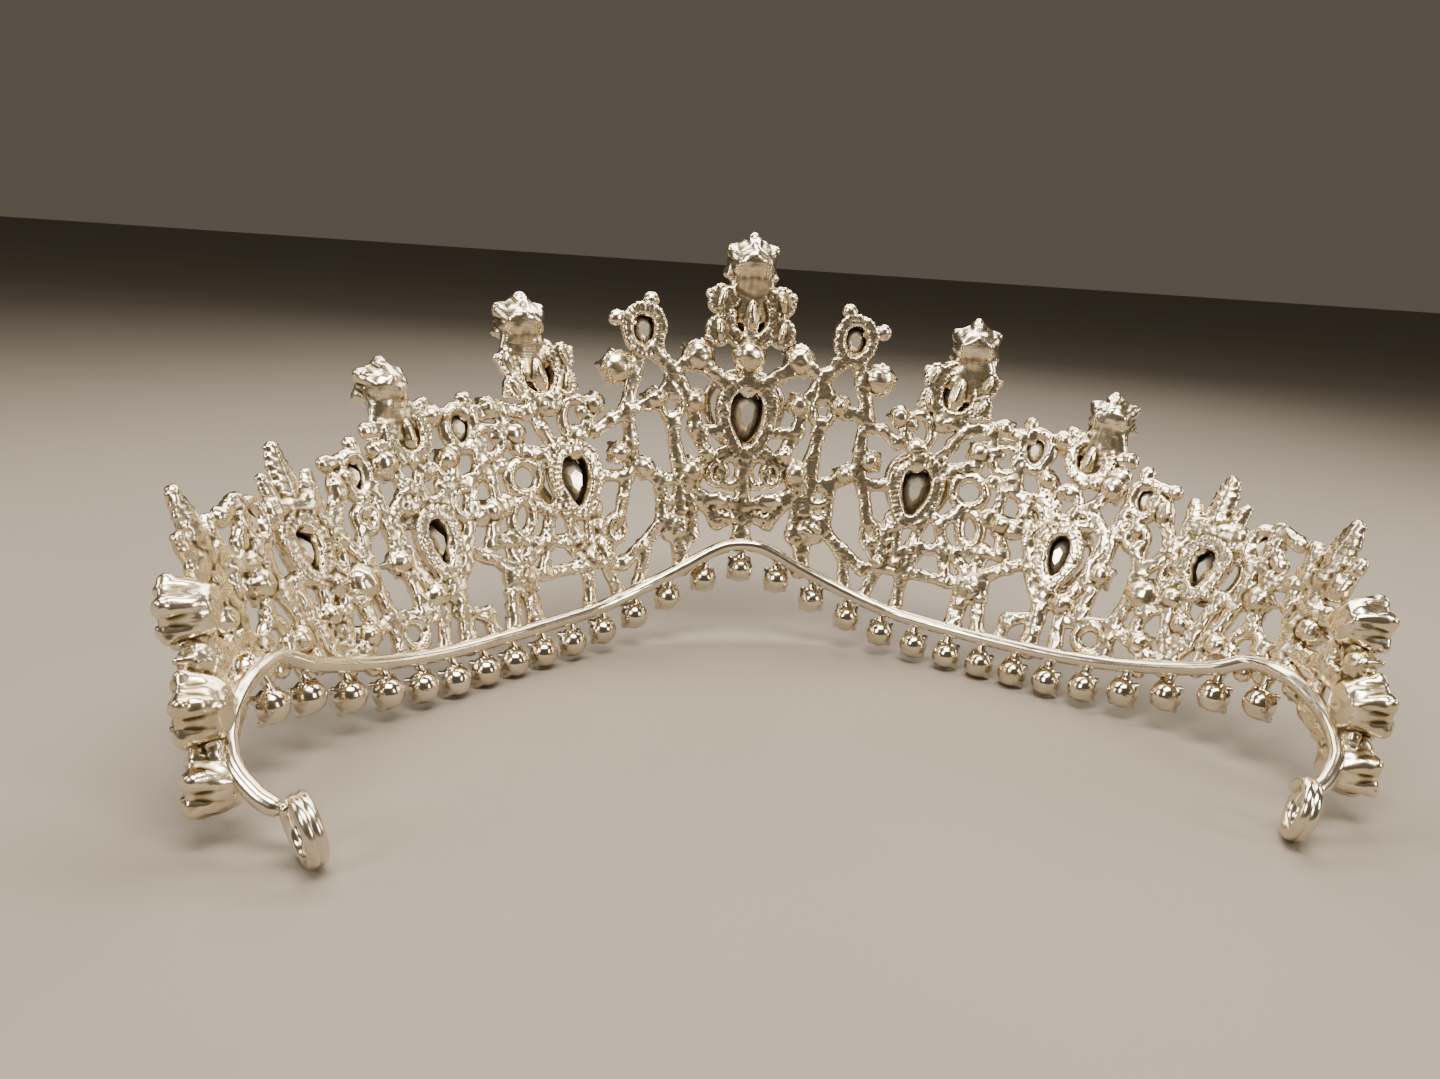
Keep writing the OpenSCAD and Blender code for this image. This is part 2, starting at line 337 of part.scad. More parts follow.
// ---- fourth motif with pointed leaves
fc = [74.5, 22];
function leaf_pts(a, b, w) = let (d = b - a, v = [-d[1], d[0]] / norm(d)) [a - 0.34 * w * v, a + 0.28 * d - 0.5 * w * v, a + 0.65 * d - 0.42 * w * v, a + 0.92 * d - 0.24 * w * v, b, a + 0.92 * d + 0.24 * w * v, a + 0.65 * d + 0.42 * w * v, a + 0.28 * d + 0.5 * w * v, a + 0.34 * w * v];
module leaves(c, list) for (q = list) seat(c[0], c[1]) translate([0, 0, -cast_t / 2]) linear_extrude(cast_t + 0.8)
  polygon(leaf_pts(flat(c, [q[0], q[1]]), flat(c, [q[2], q[3]]), q[4]));
fourth_leaves = [[73.8, 28.6, 73, 36.8, 3.8], [71.2, 28.2, 69.4, 32.8, 2.6], [75.8, 28.6, 76.8, 33.4, 2.4]];
fourth_bars = [[71.2, 28.6, 77, 28.8, 2.2], [71.2, 28.2, 73, 26.4, 1.5], [77, 28.8, 77.6, 25, 1.4], [77.6, 25, 77, 21, 1.2], [72.4, 21, 73, 18.6, 1.3],
  [72, 18, 75, 12.6, 1.3], [75, 12.6, 77, 8.6, 1.3], [79.6, 20, 78.4, 13, 1.2], [78.4, 13, 77, 8.6, 1.3], [77.4, 20.4, 79.6, 20, 1.2],
  [70, 15.6, 72.6, 17.4, 1.2], [70, 15.6, 69.8, 11.4, 1.3], [69.8, 11.4, 73, 9.8, 1.3], [73, 9.8, 76.4, 10.2, 1.2], [73, 9.8, 73, 7.6, 1.3], [69.8, 24.8, 71.2, 28.2, 1.4], [71.2, 19.8, 72.4, 18, 1.2], [71.2, 23.4, 72.6, 26, 1.2]];
fourth_rings = [[75, 23.3, 3, 4.6, 1.4, 4, 0.25], [71, 21.4, 1.3, 2.1, 0.8, 0, 0]];
fourth_cups = [[73, 18.4, 1.5], [71.4, 11.2, 1.4], [76, 15.2, 1.3]];
module fourth_casting(left) color(metal) both(left)
  motif(fc, concat(fourth_bars, [[75, 18.8, 76, 15.2, 1.2], [76, 15.2, 76.6, 10, 1.2]]), fourth_rings, [], fourth_leaves, fourth_cups, []);
module fourth_casting_left() fourth_casting(true);
module fourth_casting_right() fourth_casting(false);
module fourth_halo(left) color(metal2) both(left) halo(75.6, 23.4, 4.2, 5, 1, 4, 0.2);
module fourth_halo_left() fourth_halo(true);
module fourth_halo_right() fourth_halo(false);
module fourth_stones(left) color(glass) both(left) { stones(fourth_cups); drop(75, 23.3, 1.5, 3.1, 4, 0.25, -0.6, 3.2); }
module fourth_stones_left() fourth_stones(true);
module fourth_stones_right() fourth_stones(false);

// ---- temple motif
hc = [83, 21];
temple_bars = [[82.4, 31, 86, 30, 1.3], [82.8, 29.4, 84.8, 26.6, 1.3], [82.2, 26, 84.6, 24.3, 1.5], [84.6, 24.3, 88.4, 24.8, 1.5], [84.6, 24.3, 84.4, 21.4, 1.4],
  [81.6, 25.6, 82, 20, 1.3], [82, 20, 80.8, 13.6, 1.3], [82, 20, 84.4, 21.4, 1.3], [84.4, 21.4, 86, 17.4, 1.3], [80.8, 13.6, 84.6, 13.8, 1.3], [80.8, 13.6, 81.4, 10.2, 1.4],
  [79, 20, 82, 20, 1.2], [88.4, 24.8, 89.4, 22, 1.3], [87.4, 12.2, 87.8, 11.8, 1.4], [77.4, 27.6, 79.6, 27.6, 1.3]];
temple_rings = [[81.3, 28.2, 2.2, 3.1, 1, 0, 0.1], [86.4, 14.8, 2.4, 2.9, 1, 0, 0]];
temple_cups = [[84.4, 21.4, 1.7], [82.4, 13.8, 1.5]];
module temple_casting(left) color(metal) both(left) motif(hc, temple_bars, temple_rings, [], [], temple_cups, []);
module temple_casting_left() temple_casting(true);
module temple_casting_right() temple_casting(false);
module temple_stones(left) color(glass) both(left) { stones(temple_cups); drop(81.3, 28.2, 1.15, 2.05, 0, 0.1, -0.5, 2.2); }
module temple_stones_left() temple_stones(true);
module temple_stones_right() temple_stones(false);

// ---- end motif: leaves and three petal cups stepping down
ec = [97, 18];
end_leaves = [[91.8, 26, 92.4, 35.2, 4.4], [90, 26, 88, 31, 2.8], [94, 26, 96.2, 30.8, 2.8]];
end_bars = [[89.6, 26.4, 94.4, 26.4, 2.4], [92, 26.6, 91.6, 20, 2.6], [91.6, 20, 92, 14.4, 2], [89.4, 22, 91.6, 21, 1.5], [92, 22.6, 99.6, 23, 2.2], [91.8, 17, 98, 16.6, 2],
  [98, 16.6, 99.8, 22.4, 2], [98, 16.6, 105.6, 14.2, 2.2], [92, 14.4, 99.4, 11, 2], [99.4, 11, 106.8, 7.4, 2.2], [99.4, 11, 98, 16.6, 1.6], [105.6, 14.2, 107.6, 7, 2.4], [99.6, 23, 105, 15, 1.8], [88.4, 15.4, 91.8, 16, 1.4], [92, 14.4, 90.6, 12.4, 1.6]];
end_eggs = [[100, 23.3, 2.6, 2.6, 0, 0], [106.2, 14.4, 2.8, 2.8, 0, 0], [107.8, 6.6, 2.6, 2.6, 0, 0]];
end_cups = [[93.6, 20, 1.6], [103.2, 18.8, 1.7], [96, 12.6, 1.5]];
end_big = [[100, 23.3, 3.2], [106.2, 14.4, 3.4], [107.8, 6.6, 3.1]];
module end_casting(left) color(metal) both(left) motif(ec, end_bars, [], end_eggs, end_leaves, end_cups, end_big);
module end_casting_left() end_casting(true);
module end_casting_right() end_casting(false);
module end_stones(left) color(glass) both(left) { stones(end_cups); for (q = end_big) crest_stone(q[0], q[1], q[2]); }
module end_stones_left() end_stones(true);
module end_stones_right() end_stones(false);

scale(size_factor) {
  base_wire();
  end_eyelet_left();
  end_eyelet_right();
  hem_cups();
  hem_stones();
  centre_casting();
  centre_halo();
  centre_crest_stone();
  centre_oval_stone();
  centre_drop_stone();
  centre_side_stones();
  inner_casting_left();
  inner_casting_right();
  inner_stones_left();
  inner_stones_right();
  second_casting_left();
  second_casting_right();
  second_halo_left();
  second_halo_right();
  second_crest_stone_left();
  second_crest_stone_right();
  second_drop_stone_left();
  second_drop_stone_right();
  second_stones_left();
  second_stones_right();
  cluster_casting_left();
  cluster_casting_right();
  cluster_stones_left();
  cluster_stones_right();
  third_casting_left();
  third_casting_right();
  third_halo_left();
  third_halo_right();
  third_crest_stone_left();
  third_crest_stone_right();
  third_stones_left();
  third_stones_right();
  bridge_casting_left();
  bridge_casting_right();
  bridge_stones_left();
  bridge_stones_right();
  fourth_casting_left();
  fourth_casting_right();
  fourth_halo_left();
  fourth_halo_right();
  fourth_stones_left();
  fourth_stones_right();
  temple_casting_left();
  temple_casting_right();
  temple_stones_left();
  temple_stones_right();
  end_casting_left();
  end_casting_right();
  end_stones_left();
  end_stones_right();
}
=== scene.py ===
"""Looks of the bridal tiara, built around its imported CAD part. Lengths are millimetres until a mesh is made."""

import math

import bpy
import numpy as np
from mathutils import Matrix, Vector


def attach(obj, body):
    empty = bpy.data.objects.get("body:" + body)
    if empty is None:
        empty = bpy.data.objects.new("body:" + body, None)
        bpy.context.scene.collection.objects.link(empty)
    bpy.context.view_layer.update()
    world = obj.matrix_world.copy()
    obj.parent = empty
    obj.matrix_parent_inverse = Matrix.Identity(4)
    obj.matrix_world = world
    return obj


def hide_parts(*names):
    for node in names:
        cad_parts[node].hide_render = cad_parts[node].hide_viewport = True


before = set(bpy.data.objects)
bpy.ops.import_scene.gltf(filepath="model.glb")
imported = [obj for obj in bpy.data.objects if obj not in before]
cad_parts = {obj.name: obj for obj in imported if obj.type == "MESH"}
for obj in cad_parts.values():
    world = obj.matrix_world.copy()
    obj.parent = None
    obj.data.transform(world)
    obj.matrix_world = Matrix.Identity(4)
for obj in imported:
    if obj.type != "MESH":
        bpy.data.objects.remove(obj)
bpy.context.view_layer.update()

# ---------------------------------------------------------------- wall surface
PLAN_Y, MID_H = 19.7, 23.0


def wall_r(a, h):
    t = a * math.pi / 180
    return 52.7 + 4.7 * t**2 + 4 * t**4 - 1.2 * t**6 + (h - MID_H) * (0.15 + 0.42 * t**2 - 0.14 * t**4)


_A = np.arange(0, 116, 2.0)
_P = np.stack([wall_r(_A, MID_H) * np.sin(np.radians(_A)), wall_r(_A, MID_H) * np.cos(np.radians(_A))], 1)
_S = np.concatenate([[0], np.cumsum(np.linalg.norm(np.diff(_P, axis=0), axis=1))])


def wall(s, h, out=0.0):
    s, h = np.asarray(s, float), np.asarray(h, float)
    a = np.sign(s) * np.interp(np.abs(s), _S, _A)
    r = wall_r(a, h) + out
    return np.stack([r * np.sin(np.radians(a)), PLAN_Y - r * np.cos(np.radians(a)), h + 0 * r], -1)


def unit(v):
    return v / np.maximum(np.linalg.norm(v, axis=-1, keepdims=True), 1e-9)


def seat(s, h):
    """Origin, along, rise and outward directions of the wall at (s, h)."""
    t = unit(wall(s + 1, h) - wall(s - 1, h))
    u = wall(s, h + 1) - wall(s, h - 1)
    u = unit(u - np.sum(u * t, -1, keepdims=True) * t)
    return wall(s, h), t, u, np.cross(t, u)


def crest_seat(s, h):
    p, t, u, n = seat(s, h)
    tilt = 8 if abs(s) > 90 else 30
    c, d = math.cos(math.radians(tilt)), math.sin(math.radians(tilt))
    return p, t, u * c - n * d, n * c + u * d


# ---------------------------------------------------------------- layout
MOTIFS = {
    'centre': dict(
        bars=[[0, 60.4, 0, 57, 6], [0, 50, 0, 43, 2.4], [0, 31.6, 0, 17.4, 1.9]],
        bars_pair=[[6.6, 45.6, 3, 43, 1.8], [9.2, 46.6, 12, 44.7, 1.6], [4, 35.2, 8.4, 35.4, 1.2], [8.4, 35.4, 9, 39.4, 1.4], [8.4, 35.4, 6, 31, 1.4],
        [9, 39.4, 12, 44.7, 1.5], [3, 31.8, 8.2, 29.4, 1.2], [0, 22.6, 4.6, 23.4, 1.8], [4.6, 23.4, 8.4, 25, 1.5], [8.4, 25, 8.8, 28.4, 1.4],
        [0, 21.4, 4.4, 20, 1.4], [4.4, 20, 7.6, 23.8, 1.4], [0, 19, 0.6, 16.6, 1.6]],
        rings=[[0, 54.2, 4.8, 5.5, 2, 0, 0], [0, 37.4, 4.6, 6.6, 1.7, 0, 0.25]],
        rings_pair=[[2.4, 28.6, 2, 2.7, 0.9, 0, 0], [4.6, 28.2, 1.6, 2, 0.8, 0, 0]],
        eggs=[[0, 48, 2.8, 3.2, 0, 0.3]],
        eggs_pair=[[8, 47.3, 2.2, 2.2, 0, 0]],
        petals=[[4.7, 56.5, 2.2, 2.5, -12], [4.9, 51.6, 2.2, 2.5, 8], [-4.7, 56.5, 2.2, 2.5, 12], [-4.9, 51.6, 2.2, 2.5, -8]],
        cups=[],
        cups_pair=[[8, 47.3, 2.3], [8.4, 40, 1.6], [8.8, 28.4, 2]],
        crests=[[0, 62, 3.8]], leaves=[],
        drops=[[0, 54.2, 2.5, 3.3, 0, 0, -0.5, 3, 'centre_oval_stone'], [0, 38, 2.75, 4.6, 0, 0.25, -0.6, 4, 'centre_drop_stone']]),
    'inner': dict(
        bars=[[15.4, 54.4, 15.2, 55.8, 1.3], [18.6, 52.6, 20.4, 52.8, 1.3], [15, 48, 12, 44.7, 1.7], [17.2, 47.8, 18.2, 44, 1.5], [18.2, 44, 19.4, 38.4, 1.5], [12,
        44.7, 11.9, 41.4, 1.8], [18.2, 44.8, 20.6, 45, 1.5], [12.4, 42.6, 16, 39.2, 1.3], [16, 39.2, 19.4, 38.4, 1.3], [12.2, 37, 11.1, 30, 1.5], [11.1, 30,
        10.8, 22, 1.6], [13.6, 27, 17.8, 29.4, 1.6], [14.5, 27, 14.2, 20, 1.2], [9.2, 24, 8.9, 18, 1.4], [8.9, 18, 10.6, 15.6, 1.5], [11.4, 19, 10.6, 12.6,
        1.9], [13.6, 20.6, 17.5, 16.5, 1.4], [17.5, 16.5, 21.4, 13.8, 1.3], [17.5, 16.5, 18.6, 10.2, 1.2], [19.4, 38.4, 19, 33, 1.3], [19, 33, 19.8, 27.6,
        1.3], [19, 31.4, 20.8, 31.5, 1.2], [19.8, 27.6, 24.4, 27.8, 1.2], [19.4, 37.4, 22, 36.8, 1.1], [22, 36.8, 24.8, 35, 1.1], [20, 27.6, 21.6, 21, 1.1],
        [22.4, 18, 24.4, 14.4, 1.2], [21.4, 13.8, 24.4, 14.2, 1.2], [9.2, 24, 11, 24, 1.2]],
        rings=[[16.4, 51, 3.2, 4, 1.3, 6, 0.15], [12.3, 39.3, 2, 2.7, 0.9, 0, 0], [12.7, 25.4, 2.2, 2.1, 0.9, 0, 0], [22.4, 19.4, 1.5, 2.3, 0.8, 0, 0]],
        eggs=[[11.8, 19.4, 2.8, 2.8, 0, 0], [24.4, 15.2, 1.1, 1.4, 0, 0]],
        cups=[[20.6, 45, 2.4], [15, 40.2, 1.4], [20.8, 31.5, 1.5], [16.8, 29, 1.4]],
        leaves=[],
        crests=[], drops=[[16.4, 51, 1.85, 2.65, 6, 0.15, -0.5, 2.4, 'inner_stones']]),
    'second': dict(
        bars=[[33.8, 50, 33.2, 47.4, 5],
        [25, 39, 26.4, 38, 1.3], [27.8, 34.2, 28.2, 32.4, 2.2], [31.4, 32.8, 33.2, 35.6, 1.2], [33.2, 35.6, 34.8, 38, 1.2],
        [34.8, 38, 38.6, 38.5, 1.3], [33, 39.4, 34.8, 38, 1.6], [38.6, 38.5, 39.2, 35, 1.2], [39.2, 35, 37.4, 32.6, 1.2], [37.4, 32.6, 32.4, 31.4, 1.2],
        [38.6, 38.6, 43.2, 38, 1.3], [33, 30.8, 35, 30, 1.2], [24.8, 35, 25.8, 36, 1.1], [24.4, 27.8, 25, 27.8, 1.2], [25.6, 23, 24.8, 15, 1.2], [26.6, 22,
        27.2, 15.4, 1.2], [30.6, 22.6, 29.4, 18.4, 1.2], [29.4, 18.4, 27.2, 15.4, 1.2], [31, 24.6, 33.6, 22.7, 1.2], [33.6, 22.7, 34.6, 19.4, 1.2], [34.6,
        19.4, 37, 18, 1.3], [33.6, 22.7, 36.6, 25.4, 1.2], [24.4, 14.4, 29, 14.2, 1.2], [29, 14.2, 36.6, 13.8, 1.1], [28.4, 14, 28.4, 8.6, 1.3], [27.2, 15.4,
        28.4, 14, 1.4], [28.8, 14.6, 31, 18.2, 1.1], [31, 18.2, 35, 18.6, 1.1], [35, 18.6, 36.6, 13.8, 1.1], [24.6, 14.4, 22.4, 9.2, 1.2], [40.2, 34.6, 39,
        35, 1.2]],
        rings=[[32.6, 43.8, 4.2, 4.9, 1.6, 14, 0], [27.7, 37, 2.6, 3.3, 1, 0, 0], [28.6, 27.4, 4, 5.9, 1.6, 6, 0.25], [41.6, 33.8, 2.5, 2.5, 0.9, 0, 0], [37.2,
        28.2, 2.9, 2.9, 1, 0, 0], [38.6, 22.4, 2.1, 3.2, 1, -12, 0]],
        eggs=[[31.6, 39.2, 2.4, 2, 0, 0]],
        petals=[[28.8, 46.4, 1.6, 2.1, 20], [28.6, 42.4, 1.5, 2.1, -5], [36.7, 45.4, 1.6, 2.1, 10], [36.3, 41.6, 1.6, 2.0, 30]],
        cups=[[24.6, 39.2, 1.5], [37.4, 34.8, 1.6], [40.4, 38.8, 1.4]],
        leaves=[],
        crests=[[33.9, 51.1, 3.5]], drops=[[32.6, 43.8, 2.3, 3, 14, 0, -0.5, 2.8, 'second_stones'], [28.6, 27.4, 2.35, 4.1, 6, 0.25, -0.6, 3.8, 'second_drop_stone']]),
    'cluster': dict(
        bars=[[44.2, 39, 43.9, 40, 1.2], [47.4, 37.8, 49, 38, 1.3], [43.4, 34.2, 43, 31, 1.3], [43.8, 33.4, 44.2, 29.4, 1.2], [40.4, 30.4, 46, 28.3, 1.3], [46,
        28.3, 50.4, 28.2, 1.3], [47, 33.4, 48.6, 29, 1.2], [46, 28, 50, 18, 1.3], [50, 18, 53.4, 13.4, 1.3], [42.4, 29.4, 42.2, 24.6, 1.1], [41, 24.6, 45.6,
        23.4, 2], [42.2, 24.6, 44.6, 19.4, 1.2], [38.6, 19.2, 44.8, 19.4, 1.2], [37, 18.2, 39.4, 16, 1.4], [36.8, 13.8, 39, 13.6, 1.3], [42.6, 15.4, 46.4,
        17.6, 1.2], [46.4, 17.6, 49.4, 19, 1.1], [41, 15.5, 41.4, 19.4, 1.6], [40, 12, 39.6, 6.8, 2], [43, 12, 44.2, 6.6, 1.5], [43, 38, 44, 38.2, 1.4]],
        rings=[[45.4, 36, 2.9, 3.5, 1.2, 0, 0.12], [47.8, 25.4, 2, 2.5, 0.8, 0, 0]],
        eggs=[[41, 13.8, 3, 3, 0, 0]],
        cups=[[49, 38, 1.4], [48.4, 31.8, 1.3], [43.4, 23.9, 1.5]],
        leaves=[],
        crests=[], drops=[[45.4, 36, 1.65, 2.25, 0, 0.12, -0.5, 2.2, 'cluster_stones']]),
    'third': dict(
        bars=[[54.2, 41, 53.8, 38.6, 4.4], [50.9, 38.2, 50, 39.4, 1.2], [56.2, 36.6, 58.7, 36.5, 1.3], [56.2, 34, 58.6, 34, 1.3], [55.6, 32.6, 57.8, 32, 1.6],
        [53, 32.4, 52.4, 30.8, 2], [50, 27.6, 51, 20, 1.2], [51, 20, 53.8, 13, 1.3], [56, 28.4, 60, 24.6, 1.2], [53.8, 27.2, 56, 28.4, 1.2], [56, 28.4, 57.8,
        32, 1.3], [60, 24.6, 59.3, 18, 1.2], [59.3, 18, 57, 13.4, 1.3], [50.4, 26, 56.6, 25.8, 1.2], [53.8, 15.8, 54, 6.2, 1.8], [57.4, 13.6, 58.8, 6.8, 1.3],
        [50, 28.2, 50.4, 26, 1.2], [53.4, 13.4, 57, 13.4, 1.2], [59.8, 25, 61.4, 26.6, 1.2], [49, 9.6, 54, 11, 1.1], [48.8, 9.6, 48.4, 6.4, 1.3]],
        rings=[[53.4, 35.8, 3.4, 4.1, 1.3, 8, 0], [52.1, 28.6, 2.3, 2.8, 0.9, 0, 0], [53.6, 20.6, 3.1, 5, 1.4, 4, 0.25]],
        eggs=[[57.8, 32, 1.7, 1.9, 0, 0], [57, 13.8, 1.9, 1.9, 0, 0]],
        cups=[[57.8, 32, 1.7], [57, 13.8, 1.6]],
        leaves=[],
        crests=[[54.3, 42, 3.2]], drops=[[53.4, 35.8, 2, 2.7, 8, 0, -0.5, 2.4, 'third_stones'], [53.6, 20.6, 1.6, 3.4, 4, 0.25, -0.6, 3.4, 'third_stones']]),
    'bridge': dict(
        bars=[[62, 33.6, 61.8, 35, 1.2], [64.6, 33, 66.4, 33, 1.2], [64.6, 31, 66.4, 30, 1.6], [63.2, 28, 63.6, 26.8, 1.5], [61.2, 29.4, 60.8, 25, 1.2], [60.8, 25,
        61, 19.4, 1.3], [62.4, 25.6, 60.9, 25, 1.2], [65, 24.2, 66.6, 20.4, 1.3], [66.4, 30, 69.6, 25, 1.4], [66.6, 20.4, 68.2, 18, 1.5], [66.6, 20.4, 66.2,
        12.4, 1.3], [58.6, 11.6, 66.2, 12.4, 1.2], [66.2, 12.4, 69.8, 11.4, 1.3], [66.4, 12.4, 67, 7.6, 1.3], [61, 19.4, 60.6, 12, 1.3], [69.6, 25, 66.6,
        20.4, 1.2]],
        rings=[[63, 31, 2.5, 3.3, 1.1, 0, 0.1], [64, 25.4, 1.8, 2, 0.8, 0, 0], [63.6, 9.8, 2.4, 2.4, 0.9, 0, 0]],
        eggs=[[66.4, 29.8, 1.3, 2.2, 0, 0]],
        cups=[[61, 19.2, 1.5], [68.3, 17.8, 2.3]],
        leaves=[],
        crests=[], drops=[[63, 31, 1.35, 2.15, 0, 0.1, -0.5, 2.2, 'bridge_stones']]),
    'fourth': dict(
        bars=[[71.2, 28.6, 77, 28.8, 2.2], [71.2, 28.2, 73, 26.4, 1.5], [77, 28.8, 77.6, 25, 1.4], [77.6, 25, 77, 21, 1.2], [72.4, 21, 73, 18.6, 1.3], [72, 18, 75,
        12.6, 1.3], [75, 12.6, 77, 8.6, 1.3], [79.6, 20, 78.4, 13, 1.2], [78.4, 13, 77, 8.6, 1.3], [77.4, 20.4, 79.6, 20, 1.2], [70, 15.6, 72.6, 17.4, 1.2],
        [70, 15.6, 69.8, 11.4, 1.3], [69.8, 11.4, 73, 9.8, 1.3], [73, 9.8, 76.4, 10.2, 1.2], [73, 9.8, 73, 7.6, 1.3], [69.8, 24.8, 71.2, 28.2, 1.4], [71.2,
        19.8, 72.4, 18, 1.2], [71.2, 23.4, 72.6, 26, 1.2], [75, 18.8, 76, 15.2, 1.2], [76, 15.2, 76.6, 10, 1.2]],
        rings=[[75, 23.3, 3, 4.6, 1.4, 4, 0.25], [71, 21.4, 1.3, 2.1, 0.8, 0, 0]],
        eggs=[],
        cups=[[73, 18.4, 1.5], [71.4, 11.2, 1.4], [76, 15.2, 1.3]],
        leaves=[[73.8, 28.6, 73, 36.8, 3.8], [71.2, 28.2, 69.4, 32.8, 2.6], [75.8, 28.6, 76.8, 33.4, 2.4]],
        crests=[], drops=[[75, 23.3, 1.5, 3.1, 4, 0.25, -0.6, 3.2, 'fourth_stones']]),
    'temple': dict(
        bars=[[82.4, 31, 86, 30, 1.3], [82.8, 29.4, 84.8, 26.6, 1.3], [82.2, 26, 84.6, 24.3, 1.5], [84.6, 24.3, 88.4, 24.8, 1.5], [84.6, 24.3, 84.4, 21.4, 1.4],
        [81.6, 25.6, 82, 20, 1.3], [82, 20, 80.8, 13.6, 1.3], [82, 20, 84.4, 21.4, 1.3], [84.4, 21.4, 86, 17.4, 1.3], [80.8, 13.6, 84.6, 13.8, 1.3], [80.8,
        13.6, 81.4, 10.2, 1.4], [79, 20, 82, 20, 1.2], [88.4, 24.8, 89.4, 22, 1.3], [87.4, 12.2, 87.8, 11.8, 1.4], [77.4, 27.6, 79.6, 27.6, 1.3]],
        rings=[[81.3, 28.2, 2.2, 3.1, 1, 0, 0.1], [86.4, 14.8, 2.4, 2.9, 1, 0, 0]],
        eggs=[],
        cups=[[84.4, 21.4, 1.7], [82.4, 13.8, 1.5]],
        leaves=[],
        crests=[], drops=[[81.3, 28.2, 1.15, 2.05, 0, 0.1, -0.5, 2.2, 'temple_stones']]),
    'end': dict(
        bars=[[89.6, 26.4, 94.4, 26.4, 2.4], [92, 26.6, 91.6, 20, 2.6], [91.6, 20, 92, 14.4, 2], [89.4, 22, 91.6, 21, 1.5], [92, 22.6, 99.6, 23, 2.2], [91.8, 17,
        98, 16.6, 2], [98, 16.6, 99.8, 22.4, 2], [98, 16.6, 105.6, 14.2, 2.2], [92, 14.4, 99.4, 11, 2], [99.4, 11, 106.8, 7.4, 2.2], [99.4, 11, 98, 16.6,
        1.6], [105.6, 14.2, 107.6, 7, 2.4], [99.6, 23, 105, 15, 1.8], [88.4, 15.4, 91.8, 16, 1.4], [92, 14.4, 90.6, 12.4, 1.6]],
        rings=[],
        eggs=[[100, 23.3, 2.6, 2.6, 0, 0], [106.2, 14.4, 2.8, 2.8, 0, 0], [107.8, 6.6, 2.6, 2.6, 0, 0]],
        cups=[[93.6, 20, 1.6], [103.2, 18.8, 1.7], [96, 12.6, 1.5]],
        leaves=[[91.8, 26, 92.4, 35.2, 4.4], [90, 26, 88, 31, 2.8], [94, 26, 96.2, 30.8, 2.8]],
        crests=[[100, 23.3, 3.2], [106.2, 14.4, 3.4], [107.8, 6.6, 3.1]], drops=[]),
}


def flipped(rows, where):
    return [[-v if i in where else v for i, v in enumerate(row)] for row in rows]


def layout(name, side):
    m = MOTIFS[name]
    g = {k: [list(r) for r in m.get(k, [])] for k in ("bars", "rings", "eggs", "cups", "crests", "leaves", "drops", "petals")}
    turns = {"bars": (0, 2), "rings": (0, 5), "eggs": (0, 4), "cups": (0,), "crests": (0,), "leaves": (0, 2), "drops": (0, 4), "petals": (0, 4)}
    for k in ("bars", "rings", "eggs", "cups"):
        g[k] += [list(r) for r in m.get(k + "_pair", [])] + flipped(m.get(k + "_pair", []), turns[k])
    if side < 0:
        g = {k: flipped(v, turns[k]) for k, v in g.items()}
    return g


# ---------------------------------------------------------------- smooth noise and mesh helpers
def noise(p, size, seed):
    rng = np.random.default_rng(seed)
    v = np.zeros(len(p))
    for k in range(10):
        d = rng.normal(size=3)
        d /= np.linalg.norm(d)
        v += np.sin((p @ d) * (2 * math.pi / size) * rng.uniform(0.6, 1.5) + rng.uniform(0, 6.28))
    return v / 3.2


